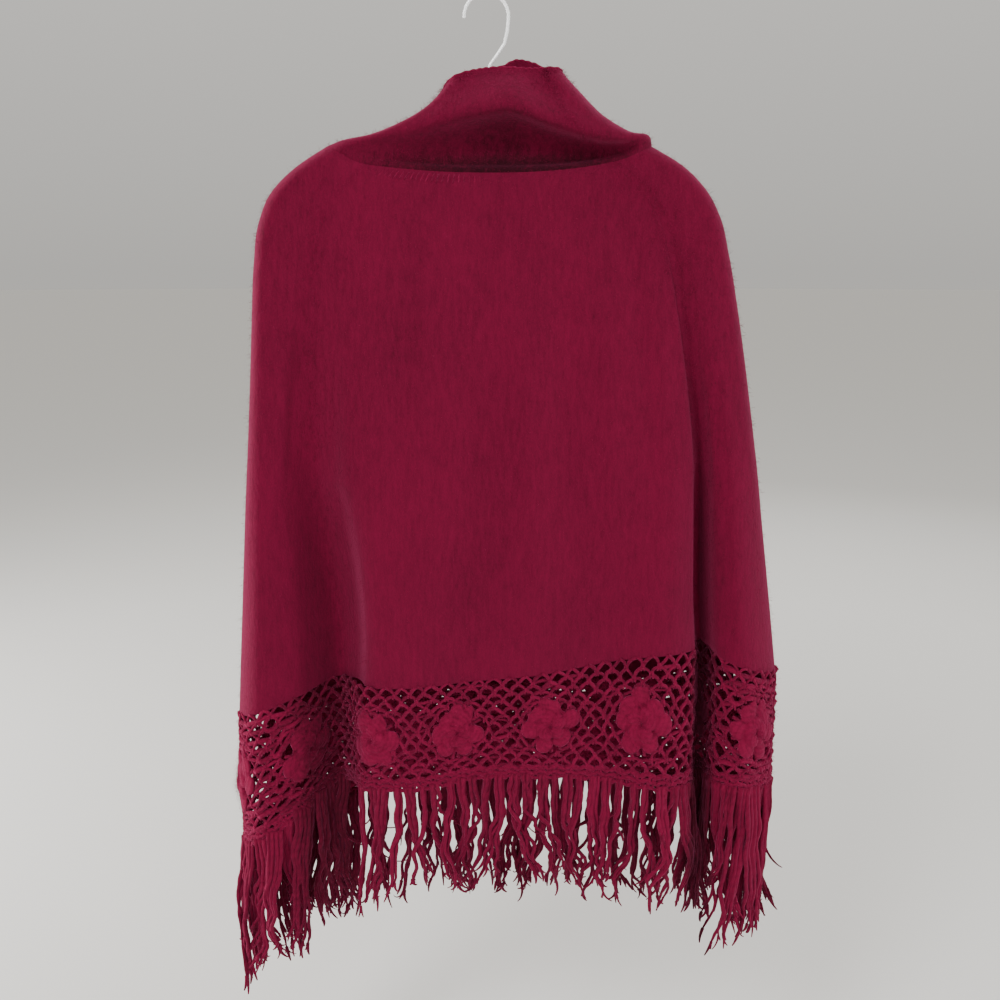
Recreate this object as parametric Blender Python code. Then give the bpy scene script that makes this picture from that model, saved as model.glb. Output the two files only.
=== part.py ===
"""A knitted poncho with a cowl collar, a crochet flower border and a fringe, on a wire hanger.

Metres, +Z up, +X to the right of someone facing the poncho, whose front looks along -Y.
The origin is the highest point inside the hanger's hook, where the hanger is hung up.

The hem is a closed ring in plan, drawn by the FOLDS table.  A place on the cloth has two
coordinates: arc, the metres walked round that ring from the left edge across the front,
and down, 0 at the neck seam and 1 at the hem.
"""

import math

import bmesh
import bpy
import numpy as np
from mathutils import Vector
from mathutils.geometry import delaunay_2d_cdt

# Driving dimensions
CLOTH = 0.0025  # thickness of the knitted cloth and of the lace
GAP = 0.0003  # at each seam, and between the cloth and the wire that carries it
SHOULDER_Z = -0.1345  # height of the neck seam where it crosses the shoulders
FRONT_DIP = 0.0243  # how far the neck seam drops from the shoulders to the middle, in front
BACK_DIP = 0.012  # and behind
HEM_EASE = 0.0005  # the facets of the body and the lace differ by up to this at the hem
CAP = 0.012  # radius, in plan, of the cloth where it turns over a shoulder

FRONT_COLUMNS, BACK_COLUMNS = 38, 20  # of the grids of the two body panels
ARC_STEP, DOWN_STEP = 0.0015, 0.004  # over which the cloth's slopes are taken

FRONT_REPEATS, BACK_REPEATS = 8, 6  # flowers in each stretch of the lace
FRONT_REPEAT = 0.093  # width of one repeat of the lace in the front stretch
CREVICE_FLOWER = 6  # the front flower that lies inside the crevice
FIRST_FLOWER = 0.015  # arc from the left edge to the middle of the first flower
NET_COLUMNS = 6  # columns of net gaps in one repeat
CELL_HEIGHT = 0.108  # nominal height of the lace, in which its gaps and flowers are laid out
FOLD_STEPS = 18  # steps across the repeat that the crevice folds

STRIP_HEIGHT, STRIP_DEPTH = 0.005, 0.003  # the band that carries the fringe's roots
STRIP_GAP = 0.0008  # between it and the lace, whose facets differ from its own
LOCKS_PER_REPEAT = 7
LOCK_SHARE = 0.66  # share of the strip's length that is under a lock
LOCK_RINGS = (0.45, 0.93)  # heights of a lock's sections under its root, as shares of its length
LOCK_TAPER = 0.25  # share of its width that a lock loses on the way down
SHORTER = 0.10  # share of its length by which a lock may be shorter than the longest
SWAY, SWING = 0.0026, 0.002  # most that a lock wanders along the hem, and off it
BARE_STRIP = (-0.155, -0.130)  # across: the locks of the left valley have swung aside from here

WIRE = 0.003  # diameter of the coated wire
HOOK_RADIUS = 0.0205  # of the wire's centre line, round the hook
APEX_Z = -0.106  # where the two arms of the hanger meet under the hook
BAR_Z = -0.2145  # height of the hanger's lower bar
TWIST_TURNS, TWIST_PITCH = 2.25, 0.0042
TWIST_SIDES = 8  # points in each turn of the twist

# The hem in plan, from the left edge across the front and back behind.  Metres.
# forward is towards the viewer; lace and fringe are the heights hanging below hem_z.
FOLDS = (
    # name,          across, forward,   hem_z,  lace, fringe
    ("left_edge", -0.2590, 0.000, -0.6990, 0.144, 0.188),
    ("left_roll", -0.2360, 0.036, -0.6870, 0.148, 0.180),
    ("left_slope", -0.1950, 0.028, -0.6690, 0.127, 0.178),
    ("left_valley", -0.1520, -0.004, -0.6590, 0.115, 0.158),
    ("valley_wall", -0.1400, 0.012, -0.6580, 0.112, 0.146),
    ("panel_left", -0.1240, 0.044, -0.6520, 0.111, 0.140),
    ("panel_1", -0.0800, 0.054, -0.6520, 0.111, 0.137),
    ("panel_2", -0.0200, 0.050, -0.6450, 0.106, 0.138),
    ("panel_3", 0.0450, 0.056, -0.6375, 0.107, 0.135),
    ("panel_4", 0.1150, 0.051, -0.6250, 0.126, 0.138),
    ("panel_right", 0.1930, 0.052, -0.6135, 0.148, 0.140),
    ("panel_edge", 0.2050, 0.041, -0.6150, 0.147, 0.150),
    ("crevice_in", 0.2085, 0.018, -0.6170, 0.145, 0.150),
    ("crevice", 0.2175, 0.002, -0.6180, 0.144, 0.150),
    ("crevice_out", 0.2265, 0.016, -0.6190, 0.143, 0.160),
    ("roll_rise", 0.2340, 0.034, -0.6230, 0.140, 0.190),
    ("right_roll", 0.2510, 0.043, -0.6330, 0.134, 0.205),
    ("right_slope", 0.2810, 0.028, -0.6450, 0.127, 0.218),
    ("right_edge", 0.2970, 0.000, -0.6510, 0.127, 0.160),
    ("back_right", 0.2800, -0.032, -0.6560, 0.127, 0.178),
    ("back_1", 0.2150, -0.047, -0.6660, 0.128, 0.156),
    ("back_2", 0.1300, -0.034, -0.6740, 0.121, 0.150),
    ("back_3", 0.0450, -0.047, -0.6800, 0.112, 0.148),
    ("back_4", -0.0400, -0.035, -0.6830, 0.111, 0.148),
    ("back_5", -0.1250, -0.048, -0.6880, 0.118, 0.148),
    ("back_6", -0.1950, -0.036, -0.6960, 0.138, 0.156),
    ("back_left", -0.2420, -0.033, -0.7000, 0.147, 0.174),
)
NAMES = [row[0] for row in FOLDS]
EASES = np.linspace(-0.035, 0.035, 15)  # metres along the hem over which its heights are eased

# The body's outline and depth on the way down.  folds is the share of the hem's shape,
# spread the share of the shift that SPREAD gives to the folds.
LEVELS = (
    # down,   left,   right, front,  back, folds, spread
    (0.00, -0.1505, 0.1555, 0.020, 0.016, 0.00, 1.00),
    (0.03, -0.1775, 0.1824, 0.021, 0.017, 0.00, 1.00),
    (0.07, -0.2022, 0.2052, 0.022, 0.018, 0.00, 1.00),
    (0.12, -0.2160, 0.2208, 0.024, 0.020, 0.01, 1.00),
    (0.19, -0.2226, 0.2310, 0.026, 0.022, 0.06, 1.00),
    (0.28, -0.2266, 0.2405, 0.029, 0.024, 0.17, 1.00),
    (0.38, -0.2306, 0.2498, 0.032, 0.026, 0.34, 1.00),
    (0.50, -0.2360, 0.2600, 0.035, 0.029, 0.55, 0.98),
    (0.60, -0.2410, 0.2682, 0.038, 0.031, 0.71, 0.86),
    (0.70, -0.2457, 0.2755, 0.040, 0.033, 0.84, 0.62),
    (0.80, -0.2503, 0.2830, 0.042, 0.034, 0.93, 0.34),
    (0.90, -0.2548, 0.2902, 0.044, 0.035, 0.98, 0.10),
    (1.00, -0.2590, 0.2970, 0.045, 0.036, 1.00, 0.00),
)
# Higher up, the front's folds stand nearer to the side edges than they do at the hem.
SPREAD = (
    # across, shift
    (-1.00, 0.000),
    (-0.90, -0.030),
    (-0.62, -0.150),
    (-0.51, -0.085),
    (-0.25, -0.010),
    (0.30, 0.010),
    (0.60, 0.050),
    (0.72, 0.060),
    (0.88, 0.025),
    (1.00, 0.000),
)
BODY_ROWS = (0.0, 0.015, 0.035, 0.065, 0.1, 0.145, 0.21, 0.3, 0.42, 0.56, 0.72, 0.87, 1.0)
ARM_ROWS = 5  # the first of these rows, along which a hanger arm carries the cloth

# The collar's rings on the way up from the neck seam.  Heights are at its two side folds
# and at the middle of its front and back; front and back are depths, and a high crown
# keeps the ring level until close to its sides.
COLLAR = (
    # rise,   left,  right, left_z,  right_z, front_z,  back_z, front,  back, crown
    (0.00, -0.1505, 0.1555, -0.1345, -0.1345, -0.1588, -0.1465, 0.020, 0.016, 4.0),
    (0.14, -0.1350, 0.1520, -0.1290, -0.1245, -0.1460, -0.1350, 0.023, 0.020, 4.0),
    (0.30, -0.1080, 0.1340, -0.1240, -0.1212, -0.1300, -0.1200, 0.026, 0.024, 3.6),
    (0.45, -0.0830, 0.1090, -0.1150, -0.1070, -0.1140, -0.1060, 0.028, 0.027, 3.2),
    (0.60, -0.0640, 0.0890, -0.1060, -0.0880, -0.0990, -0.0930, 0.028, 0.027, 2.8),
    (0.78, -0.0490, 0.0750, -0.0940, -0.0735, -0.0805, -0.0750, 0.024, 0.024, 2.4),
    (0.90, -0.0430, 0.0722, -0.0865, -0.0700, -0.0695, -0.0640, 0.020, 0.022, 2.2),
    (1.00, -0.0400, 0.0705, -0.0815, -0.0670, -0.0618, -0.0545, 0.018, 0.021, 2.0),
)
COLLAR_ROWS = (0.0, 0.03, 0.14, 0.26, 0.38, 0.5, 0.6, 0.7, 0.84, 1.0)

# The collar's front rolls forward along a ridge, over a hollow that lies halfway down to
# the seam.  across runs from -1, the left side fold, to 1; the rest are rises and metres.
RIDGE = (
    # across, rise, ridge, hollow
    (-1.00, 0.28, 0.000, 0.000),
    (-0.65, 0.40, 0.006, 0.003),
    (-0.25, 0.52, 0.011, 0.008),
    (0.20, 0.58, 0.014, 0.011),
    (0.55, 0.46, 0.010, 0.007),
    (0.82, 0.32, 0.006, 0.002),
    (1.00, 0.22, 0.000, 0.000),
)
RIDGE_WIDTH = 0.17  # of the ridge and the hollow, in rise
HOLLOW_SHARE = 0.45  # rise of the hollow, as a share of the ridge's
ROLL_START = 0.12  # rise over which the ridge and the hollow set in
COLLAR_STEP = 0.055  # least step across between the collar's columns, away from its sides
COLLAR_SIDE = 0.9  # across, past which the collar keeps every column of the body
COLLAR_SEAM = 0.003  # height of the collar's first row, which carries on the body's slope

# The gaps of the net in one repeat, by rows.  columns count from the flower's middle.
NET_ROWS = (
    # down,  columns,            half_width, half_height
    (0.130, (-3, -2, -1, 0, 1, 2), 0.0050, 0.0045),
    (0.275, (-3, -2, -1, 1, 2), 0.0048, 0.0050),
    (0.420, (-3, -2, 2), 0.0050, 0.0055),
    (0.565, (-3, -2, 2), 0.0048, 0.0055),
    (0.710, (-3, -2, 2), 0.0050, 0.0050),
    (0.845, (-3,), 0.0050, 0.0045),
)
BORDER_DOWNS = (0.0, 0.2025, 0.3475, 0.4925, 0.6375, 0.7775, 1.0)

# The flower, raised from the lace: rings of points round its middle.
FLOWER_DOWN = 0.50  # of its middle, as a share of the cell's height
FLOWER = (
    # radius, points, turn,  height
    (0.0000, 1, 0.0, 0.0040),
    (0.0085, 6, 0.5, 0.0058),
    (0.0150, 6, 0.0, 0.0022),
    (0.0235, 6, 0.5, 0.0042),
)

# The wire's way down from the hook to the twist, and each arm's way from the twist's foot.
SHANK = (
    # across, z
    (0.0192, -0.0320),
    (0.0166, -0.0425),
    (0.0100, -0.0520),
    (0.0036, -0.0605),
    (0.0006, -0.0690),
    (0.0000, -0.0800),
    (0.0000, -0.1020),
)
LEFT_ARM = (
    # across, drop under the apex
    (-0.0030, 0.0003),
    (-0.0120, 0.0023),
    (-0.0750, 0.0145),
)
RIGHT_ARM = (
    (0.0055, 0.0002),
    (0.0140, 0.0030),
    (0.0750, 0.0155),
)
# From the end of an arm into the lower bar: share is that of the height between the two.
SHOULDER_TURN = (
    # inwards, share
    (0.0005, 0.35),
    (0.0040, 0.72),
    (0.0105, 0.95),
    (0.0185, 1.00),
)
HOOK_START, HOOK_END, HOOK_POINTS = 183, -8, 14  # degrees round the hook, from its tip

COLORS = {
    # name: (red, green, blue, roughness, metallic)
    "alpaca": (0.175, 0.0065, 0.030, 0.95, 0.0),
    "crochet": (0.200, 0.0080, 0.034, 0.90, 0.0),
    "fringe": (0.125, 0.0060, 0.022, 0.90, 0.0),
    "coated_wire": (0.780, 0.800, 0.820, 0.35, 0.0),
}
COLLECTION = "andean_poncho"
SHARP = math.radians(50)  # edges that turn by more than this are shaded sharp


def smooth(knots, values, at):
    """A curve through a table's points, with the slope of its neighbours at each of them."""
    knots = np.asarray(knots, float)
    values = np.asarray(values, float)
    step = np.diff(knots)
    rise = np.diff(values) / step
    slope = np.concatenate(
        ([rise[0]], (step[1:] * rise[:-1] + step[:-1] * rise[1:]) / (step[1:] + step[:-1]), [rise[-1]])
    )
    i = np.clip(np.searchsorted(knots, at, side="right") - 1, 0, len(step) - 1)
    t = (at - knots[i]) / step[i]
    start = values[i] * (1 + 2 * t) * (1 - t) ** 2 + slope[i] * step[i] * t * (1 - t) ** 2
    end = values[i + 1] * t**2 * (3 - 2 * t) + slope[i + 1] * step[i] * t**2 * (t - 1)
    return start + end


def column_of(table, index):
    return [row[index] for row in table]


def table_at(table, index, at):
    return smooth(column_of(table, 0), column_of(table, index), at)


def hem_ring():
    """The hem's smooth closed ring: columns arc, across, forward, hem_z, lace, fringe."""
    rows = np.array([row[1:] for row in FOLDS])
    chords = np.linalg.norm(np.roll(rows, -1, 0)[:, :2] - rows[:, :2], axis=1)
    round_length = chords.sum()
    knots = np.concatenate(([0.0], np.cumsum(chords)[:-1]))
    knots = np.concatenate([knots + turn * round_length for turn in (-1, 0, 1)])
    at = np.linspace(0.0, round_length, 2401)
    ring = np.stack([smooth(knots, np.tile(rows[:, i], 3), at) for i in range(5)], axis=1)
    steps = np.linalg.norm(np.diff(ring[:, :2], axis=0), axis=1)
    arc = np.concatenate(([0.0], np.cumsum(steps)))
    fold_arcs = np.interp(knots[len(FOLDS) : 2 * len(FOLDS)], at, arc)
    for i in range(2, 5):
        ring[:, i] = np.mean([np.interp(arc + d, arc, ring[:, i], period=arc[-1]) for d in EASES], axis=0)
    return np.column_stack([arc, ring]), fold_arcs


RING, FOLD_ARCS = hem_ring()
ROUND = RING[-1, 0]  # length of the whole hem
FRONT_ARC = FOLD_ARCS[NAMES.index("right_edge")]
HEM_LEFT, HEM_RIGHT = RING[:, 1].min(), RING[:, 1].max()
ACROSS, FORWARD, HEM_Z, LACE, FRINGE = range(1, 6)


def hem(arc, column):
    return np.interp(np.mod(arc, ROUND), RING[:, 0], RING[:, column])


def outward(arc):
    """Level unit vectors out of the hem."""
    ahead, behind = arc + ARC_STEP, arc - ARC_STEP
    tangent = np.stack([hem(ahead, c) - hem(behind, c) for c in (ACROSS, FORWARD)], axis=-1)
    tangent /= np.linalg.norm(tangent, axis=-1, keepdims=True)
    return np.stack([-tangent[..., 1], -tangent[..., 0], 0 * tangent[..., 0]], axis=-1)


def side_cap(across, half):
    """Share of the full depth at a place between the two side edges: 0 there, 1 inside the caps."""
    inset = np.clip((np.abs(across) * half - (half - CAP)) / CAP, 0.0, 1.0)
    return np.sqrt(1.0 - inset**2)


def across_of(arc):
    """-1 at the left edge, 1 at the right edge."""
    return 2.0 * (hem(arc, ACROSS) - HEM_LEFT) / (HEM_RIGHT - HEM_LEFT) - 1.0


def is_front(arc):
    return np.mod(arc, ROUND) <= FRONT_ARC


def neck_z(arc):
    dip = np.where(is_front(arc), FRONT_DIP, BACK_DIP)
    return SHOULDER_Z - dip * (1.0 - across_of(arc) ** 4)


def body_point(arc, down):
    """Points of the body's mid-wall."""
    arc, down = np.broadcast_arrays(np.asarray(arc, float), np.asarray(down, float))
    left = table_at(LEVELS, 1, down) + CLOTH / 2
    right = table_at(LEVELS, 2, down) - CLOTH / 2
    folds = table_at(LEVELS, 5, down)
    half = (right - left) / 2
    across = across_of(arc)
    across = across + np.where(is_front(arc), table_at(SPREAD, 1, across), 0.0) * table_at(LEVELS, 6, down)
    depth = np.where(is_front(arc), table_at(LEVELS, 3, down), -table_at(LEVELS, 4, down))
    forward = (1 - folds) * depth * side_cap(across, half) + folds * hem(arc, FORWARD)
    z = neck_z(arc) + down * (hem(arc, HEM_Z) + HEM_EASE - neck_z(arc))
    return np.stack([left + (across + 1) * half, -forward, z], axis=-1)


def body_normal(arc, down):
    """Unit normals of the body, out of the cloth, from small steps round and down it."""
    below = body_point(arc, np.minimum(down + DOWN_STEP, 1.0))
    above = body_point(arc, np.maximum(down - DOWN_STEP, 0.0))
    round_step = body_point(arc + ARC_STEP, down) - body_point(arc - ARC_STEP, down)
    normal = np.cross(below - above, round_step)
    return normal / np.linalg.norm(normal, axis=-1, keepdims=True)


def fold_columns(start, end, count, metres_a_column=0.024, turn_a_column=0.45):
    """Arcs from start to end, closer together where the hem turns."""
    arc = np.linspace(start, end, 1500)
    heading = np.unwrap(np.arctan2(*np.moveaxis(outward(arc), -1, 0)[:2]))
    steps = np.diff(arc) / metres_a_column + np.abs(np.diff(heading)) / turn_a_column
    passed = np.concatenate(([0.0], np.cumsum(steps)))
    return np.interp(np.linspace(0.0, passed[-1], count), passed, arc)


def new_object(name, vertices, faces, material):
    """A mesh object with its faces turned outwards, in the poncho's collection."""
    mesh = bpy.data.meshes.new(name)
    mesh.from_pydata([tuple(map(float, v)) for v in vertices], [], [tuple(map(int, f)) for f in faces])
    work = bmesh.new()
    work.from_mesh(mesh)
    bmesh.ops.recalc_face_normals(work, faces=work.faces)
    work.to_mesh(mesh)
    work.free()
    mesh.shade_smooth()
    mesh.set_sharp_from_angle(angle=SHARP)
    mesh.materials.append(material)
    made = bpy.data.objects.new(name, mesh)
    bpy.data.collections[COLLECTION].objects.link(made)
    return made


def cloth_shell(name, middle, normal, material, closed=False):
    """A wall of cloth on a grid of mid-wall points, rows by columns, closed round or not."""
    rows, columns = middle.shape[:2]
    layers = [(middle + side * normal * CLOTH / 2).reshape(-1, 3) for side in (1, -1)]
    size = rows * columns
    faces = []
    spans = columns if closed else columns - 1
    for i in range(rows - 1):
        for j in range(spans):
            k = (j + 1) % columns
            quad = (i * columns + j, i * columns + k, (i + 1) * columns + k, (i + 1) * columns + j)
            faces.append(quad)
            faces.append(tuple(size + v for v in reversed(quad)))
    ends = (0, rows - 1)
    edges = [(i * columns + j, i * columns + (j + 1) % columns) for i in ends for j in range(spans)]
    if not closed:
        edges += [(i * columns + j, (i + 1) * columns + j) for i in range(rows - 1) for j in (0, columns - 1)]
    faces += [(a, b, b + size, a + size) for a, b in edges]
    return new_object(name, np.concatenate(layers), faces, material)


def body_panel(name, start, end, columns, material):
    """One side of the body; its last row of normals is level, so that the lace meets it."""
    arc = fold_columns(start, end, columns)[None, :]
    down = np.array(BODY_ROWS)[:, None]
    normal = body_normal(arc, down)
    normal[-1] = outward(arc[0])
    return cloth_shell(name, body_point(arc, down), normal, material)


def collar_point(arc, rise):
    """Points of the collar's mid-wall, above the body's point at the same arc."""
    arc, rise = np.broadcast_arrays(np.asarray(arc, float), np.asarray(rise, float))
    across = across_of(arc)
    left, right, left_z, right_z, front_z, back_z, front_depth, back_depth = (
        table_at(COLLAR, i, rise) for i in range(1, 9)
    )
    crown = 1.0 - np.abs(across) ** table_at(COLLAR, 9, rise)
    left = left + CLOTH / 2
    right = right - CLOTH / 2
    half = (right - left) / 2
    ridge_rise, ridge, hollow = (table_at(RIDGE, i, across) for i in (1, 2, 3))
    roll = ridge * np.exp(-(((rise - ridge_rise) / RIDGE_WIDTH) ** 2))
    roll -= hollow * np.exp(-(((rise - ridge_rise * HOLLOW_SHARE) / RIDGE_WIDTH) ** 2))
    roll *= np.clip(rise / ROLL_START, 0.0, 1.0)
    depth = np.where(is_front(arc), front_depth + roll, -back_depth)
    side_z = left_z + (across + 1) / 2 * (right_z - left_z)
    z = side_z + (np.where(is_front(arc), front_z, back_z) - side_z) * crown
    return np.stack([left + (across + 1) * half, -depth * side_cap(across, half), z], axis=-1)


def collar_columns():
    """The body's own columns, without those that the hem's folds crowd together."""
    front = fold_columns(0.0, FRONT_ARC, FRONT_COLUMNS)
    back = fold_columns(FRONT_ARC, ROUND, BACK_COLUMNS)
    arcs = np.concatenate([front[:-1], back[:-1]])
    kept = [arcs[0]]
    for arc in arcs[1:]:
        moved = abs(across_of(arc) - across_of(kept[-1]))
        if abs(across_of(arc)) > COLLAR_SIDE or moved > COLLAR_STEP:
            kept.append(arc)
    return np.array(kept)


def build_collar(material):
    arc = collar_columns()[None, :]
    rise = np.array(COLLAR_ROWS)[:, None]
    middle = collar_point(arc, rise)
    up = body_point(arc[0], 0.0) - body_point(arc[0], DOWN_STEP)
    up /= np.linalg.norm(up, axis=-1, keepdims=True)
    middle[0] = body_point(arc[0], 0.0) + up * GAP * 1.5
    middle[1] = middle[0] + up * COLLAR_SEAM
    round_step = np.roll(middle, -1, 1) - np.roll(middle, 1, 1)
    normal = np.cross(round_step, np.gradient(middle, axis=0))
    normal /= np.linalg.norm(normal, axis=-1, keepdims=True)
    normal[:2] = body_normal(arc[0], 0.0)
    return cloth_shell("collar", middle, normal, material, closed=True)


def lace_point(arc, down, out=0.0):
    """Points of the lace: down is 0 at the hem and 1 at its lower edge, out is off the mid-wall."""
    z = hem(arc, HEM_Z) - GAP - down * hem(arc, LACE)
    level = np.stack([hem(arc, ACROSS), -hem(arc, FORWARD), z], axis=-1)
    return level + outward(arc) * np.asarray(out)[..., None]


def net_gaps(width):
    """The gaps of one repeat, as (across, down, half width, half height) in the flat cell."""
    pitch = width / NET_COLUMNS
    return [
        (column * pitch, share * CELL_HEIGHT, half_width, half_height)
        for share, columns, half_width, half_height in NET_ROWS
        for column in columns
    ]


def left_of_cell(width):
    """Where a repeat starts, from its flower's middle: half a column before its first gaps."""
    return -(NET_COLUMNS + 1) / 2 * width / NET_COLUMNS


def flat_cell(width, with_flower, fold_steps=0):
    """One repeat of the lace laid flat: its points, their heights and its triangles.

    fold_steps, if any, is the number of steps across each level of a cell that is folded sharply.
    """
    left = left_of_cell(width)
    gaps = net_gaps(width)
    points, edges = [], []
    for down in BORDER_DOWNS:
        steps = fold_steps or (NET_COLUMNS if down in (0.0, 1.0) else 1)
        points += [(left + i * width / steps, down * CELL_HEIGHT) for i in range(steps + 1)]
    for x, y, half_width, half_height in gaps:
        first = len(points)
        points += [(x - half_width, y), (x, y - half_height), (x + half_width, y), (x, y + half_height)]
        edges += [(first + i, first + (i + 1) % 4) for i in range(4)]
    heights = [0.0] * len(points)
    if with_flower:
        for radius, count, turn, height in FLOWER:
            angles = [(i + turn) * 2 * math.pi / count for i in range(count)]
            middle = FLOWER_DOWN * CELL_HEIGHT
            points += [(radius * math.sin(a), middle - radius * math.cos(a)) for a in angles]
            heights += [height] * count
    made, _, triangles, _, _, _ = delaunay_2d_cdt([Vector(p) for p in points], edges, [], 0, 1e-7)
    if len(made) != len(points):
        raise ValueError("the lace's points must stay as they were laid out")

    def in_gap(triangle):
        x, y = (sum(made[v][axis] for v in triangle) / 3 for axis in (0, 1))
        return any(abs(x - gx) / hw + abs(y - gy) / hh < 1 for gx, gy, hw, hh in gaps)

    return points, heights, [t for t in triangles if not in_gap(t)]


def build_lace(name, start, width, repeats, material, flattened=None):
    """A stretch of lace: flat cells side by side, mapped to the hem, over a plain inside.

    flattened is the number of the repeat whose flower a fold has pressed flat.
    """
    vertices, index_of = [], {}

    def vertex(side, along, down, height):
        key = (side, round(along, 5), round(down, 5))
        if key not in index_of:
            index_of[key] = len(vertices)
            vertices.append(lace_point(start + along, down / CELL_HEIGHT, side * CLOTH / 2 + height))
        return index_of[key]

    raised, plain = flat_cell(width, True), flat_cell(width, False)
    pressed = flat_cell(width, False, FOLD_STEPS)
    faces, rims = [], {}
    for repeat in range(repeats):
        offset = repeat * width - left_of_cell(width)
        layers = (pressed, pressed) if repeat == flattened else (raised, plain)
        for side, (points, heights, triangles) in zip((1, -1), layers):
            indices = [vertex(side, offset + x, y, h) for (x, y), h in zip(points, heights)]
            faces += [[indices[v] for v in triangle][::side] for triangle in triangles]
        points, heights, triangles = layers[0]
        pairs = [
            (vertex(1, offset + x, y, h), vertex(-1, offset + x, y, h) if h == 0.0 else None)
            for (x, y), h in zip(points, heights)
        ]
        for triangle in triangles:
            for a, b in zip(triangle, triangle[1:] + triangle[:1]):
                edge = frozenset((pairs[a][0], pairs[b][0]))
                rims[edge] = None if edge in rims else (pairs[a], pairs[b])
    for rim in filter(None, rims.values()):
        (outer_a, inner_a), (outer_b, inner_b) = rim
        faces.append((outer_b, outer_a, inner_a, inner_b))
    return new_object(name, vertices, faces, material)


def wave(seed, phase):
    """A number from -1 to 1 that differs from lock to lock and repeats on each run."""
    return math.sin(12.9898 * seed + 4.1414 * phase + 1.7 * math.sin(3.7 * seed + phase))


def build_fringe(name, start, end, locks, material):
    """Locks of four sides that grow out of a narrow strip under the lace's edge."""
    pitch = (end - start) / locks
    edge = pitch * (1 - LOCK_SHARE) / 2
    stations = [start]
    for lock in range(locks):
        stations += [start + lock * pitch + edge, start + (lock + 1) * pitch - edge]
    stations.append(end)
    vertices, faces = [], []
    for arc in stations:
        top = lace_point(arc, 1.0) - np.array([0.0, 0.0, STRIP_GAP])
        out = outward(arc) * STRIP_DEPTH / 2
        low = np.array([0.0, 0.0, STRIP_HEIGHT])
        vertices += [top + out, top - out, top - out - low, top + out - low]
    faces.append((0, 1, 2, 3))
    for i in range(len(stations) - 1):
        arc = (stations[i] + stations[i + 1]) / 2
        is_lock = i % 2 == 1 and not BARE_STRIP[0] < hem(arc, ACROSS) < BARE_STRIP[1]
        a, b = 4 * i, 4 * (i + 1)
        sides = [(0, 1), (1, 2), (3, 0)] if is_lock else [(0, 1), (1, 2), (2, 3), (3, 0)]
        faces += [(a + p, a + q, b + q, b + p) for p, q in sides]
        if is_lock:
            add_lock(vertices, faces, (a + 2, a + 3, b + 3, b + 2), i // 2, arc)
    last = 4 * (len(stations) - 1)
    faces.append((last + 3, last + 2, last + 1, last))
    return new_object(name, vertices, faces, material)


def add_lock(vertices, faces, root, seed, arc):
    """One lock: rings that narrow and wander on the way down from its root to a point."""
    corners = [vertices[v] for v in root]
    middle = sum(corners) / 4
    length = hem(arc, FRINGE) - STRIP_HEIGHT
    length *= 1.0 - SHORTER * (1.0 - wave(seed, 0.3)) / 2
    out = outward(arc)
    along = np.array([-out[1], out[0], 0.0])
    ring = root
    for share in LOCK_RINGS:
        sway, swing = SWAY * share * wave(seed, 1 + 2 * share), SWING * share * wave(seed, 2.2 - share)
        centre = middle + along * sway + out * swing - np.array([0.0, 0.0, length * share])
        first = len(vertices)
        vertices += [centre + (corner - middle) * (1.0 - LOCK_TAPER * share) for corner in corners]
        lower = tuple(range(first, first + 4))
        faces += [(ring[i], ring[(i + 1) % 4], lower[(i + 1) % 4], lower[i]) for i in range(4)]
        ring = lower
    tip = len(vertices)
    vertices.append(middle + along * SWAY * wave(seed, 3.1) - np.array([0.0, 0.0, length]))
    faces += [(ring[i], ring[(i + 1) % 4], tip) for i in range(4)]


def under_ridge(edge_arc, side):
    """Points of a hanger arm, just under the cloth that it carries along one shoulder."""
    downs = np.array(BODY_ROWS[:ARM_ROWS])
    below = body_point(edge_arc, downs + DOWN_STEP)
    run = below - body_point(edge_arc, np.maximum(downs - DOWN_STEP, 0.0))
    run /= np.linalg.norm(run, axis=-1, keepdims=True)
    inwards = np.stack([side * run[:, 2], 0 * run[:, 0], -np.abs(run[:, 0])], axis=-1)
    return [Vector(p) for p in body_point(edge_arc, downs) + inwards * (CLOTH / 2 + GAP + WIRE / 2)]


def in_plane(across, z):
    """A point of the wire, which lies in the plane y = 0 apart from its twist."""
    return Vector((across, 0.0, z))


def hook_points():
    """The hook's centre line, from its tip over the top."""
    angles = np.radians(np.linspace(HOOK_START, HOOK_END, HOOK_POINTS))
    middle_z = WIRE / 2 - HOOK_RADIUS
    return [in_plane(HOOK_RADIUS * math.cos(a), middle_z + HOOK_RADIUS * math.sin(a)) for a in angles]


def hanger_end(last, side):
    """The wire's turn from the end of an arm, past its shoulder, into the lower bar."""
    drop = BAR_Z - last.z
    return [in_plane(last.x - side * inwards, last.z + drop * share) for inwards, share in SHOULDER_TURN]


def twist_points():
    """The end of the right arm, wound round the shank."""
    radius = WIRE + 2 * GAP
    points = []
    for step in range(int(TWIST_TURNS * TWIST_SIDES) + 1):
        angle = 2 * math.pi * step / TWIST_SIDES
        z = APEX_Z + TWIST_PITCH * (0.5 + step / TWIST_SIDES)
        points.append(Vector((radius * math.cos(angle), -radius * math.sin(angle), z)))
    return points


def hanger_points():
    """The whole wire: hook, shank, left arm, lower bar, right arm and twist."""
    left, right = under_ridge(0.0, -1.0), under_ridge(FRONT_ARC, 1.0)
    points = hook_points()
    points += [in_plane(across, z) for across, z in SHANK]
    points += [in_plane(across, APEX_Z - drop) for across, drop in LEFT_ARM]
    points += left + hanger_end(left[-1], -1.0)
    points += reversed(right + hanger_end(right[-1], 1.0))
    points += [in_plane(across, APEX_Z - drop) for across, drop in reversed(RIGHT_ARM)]
    return points + twist_points()


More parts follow.
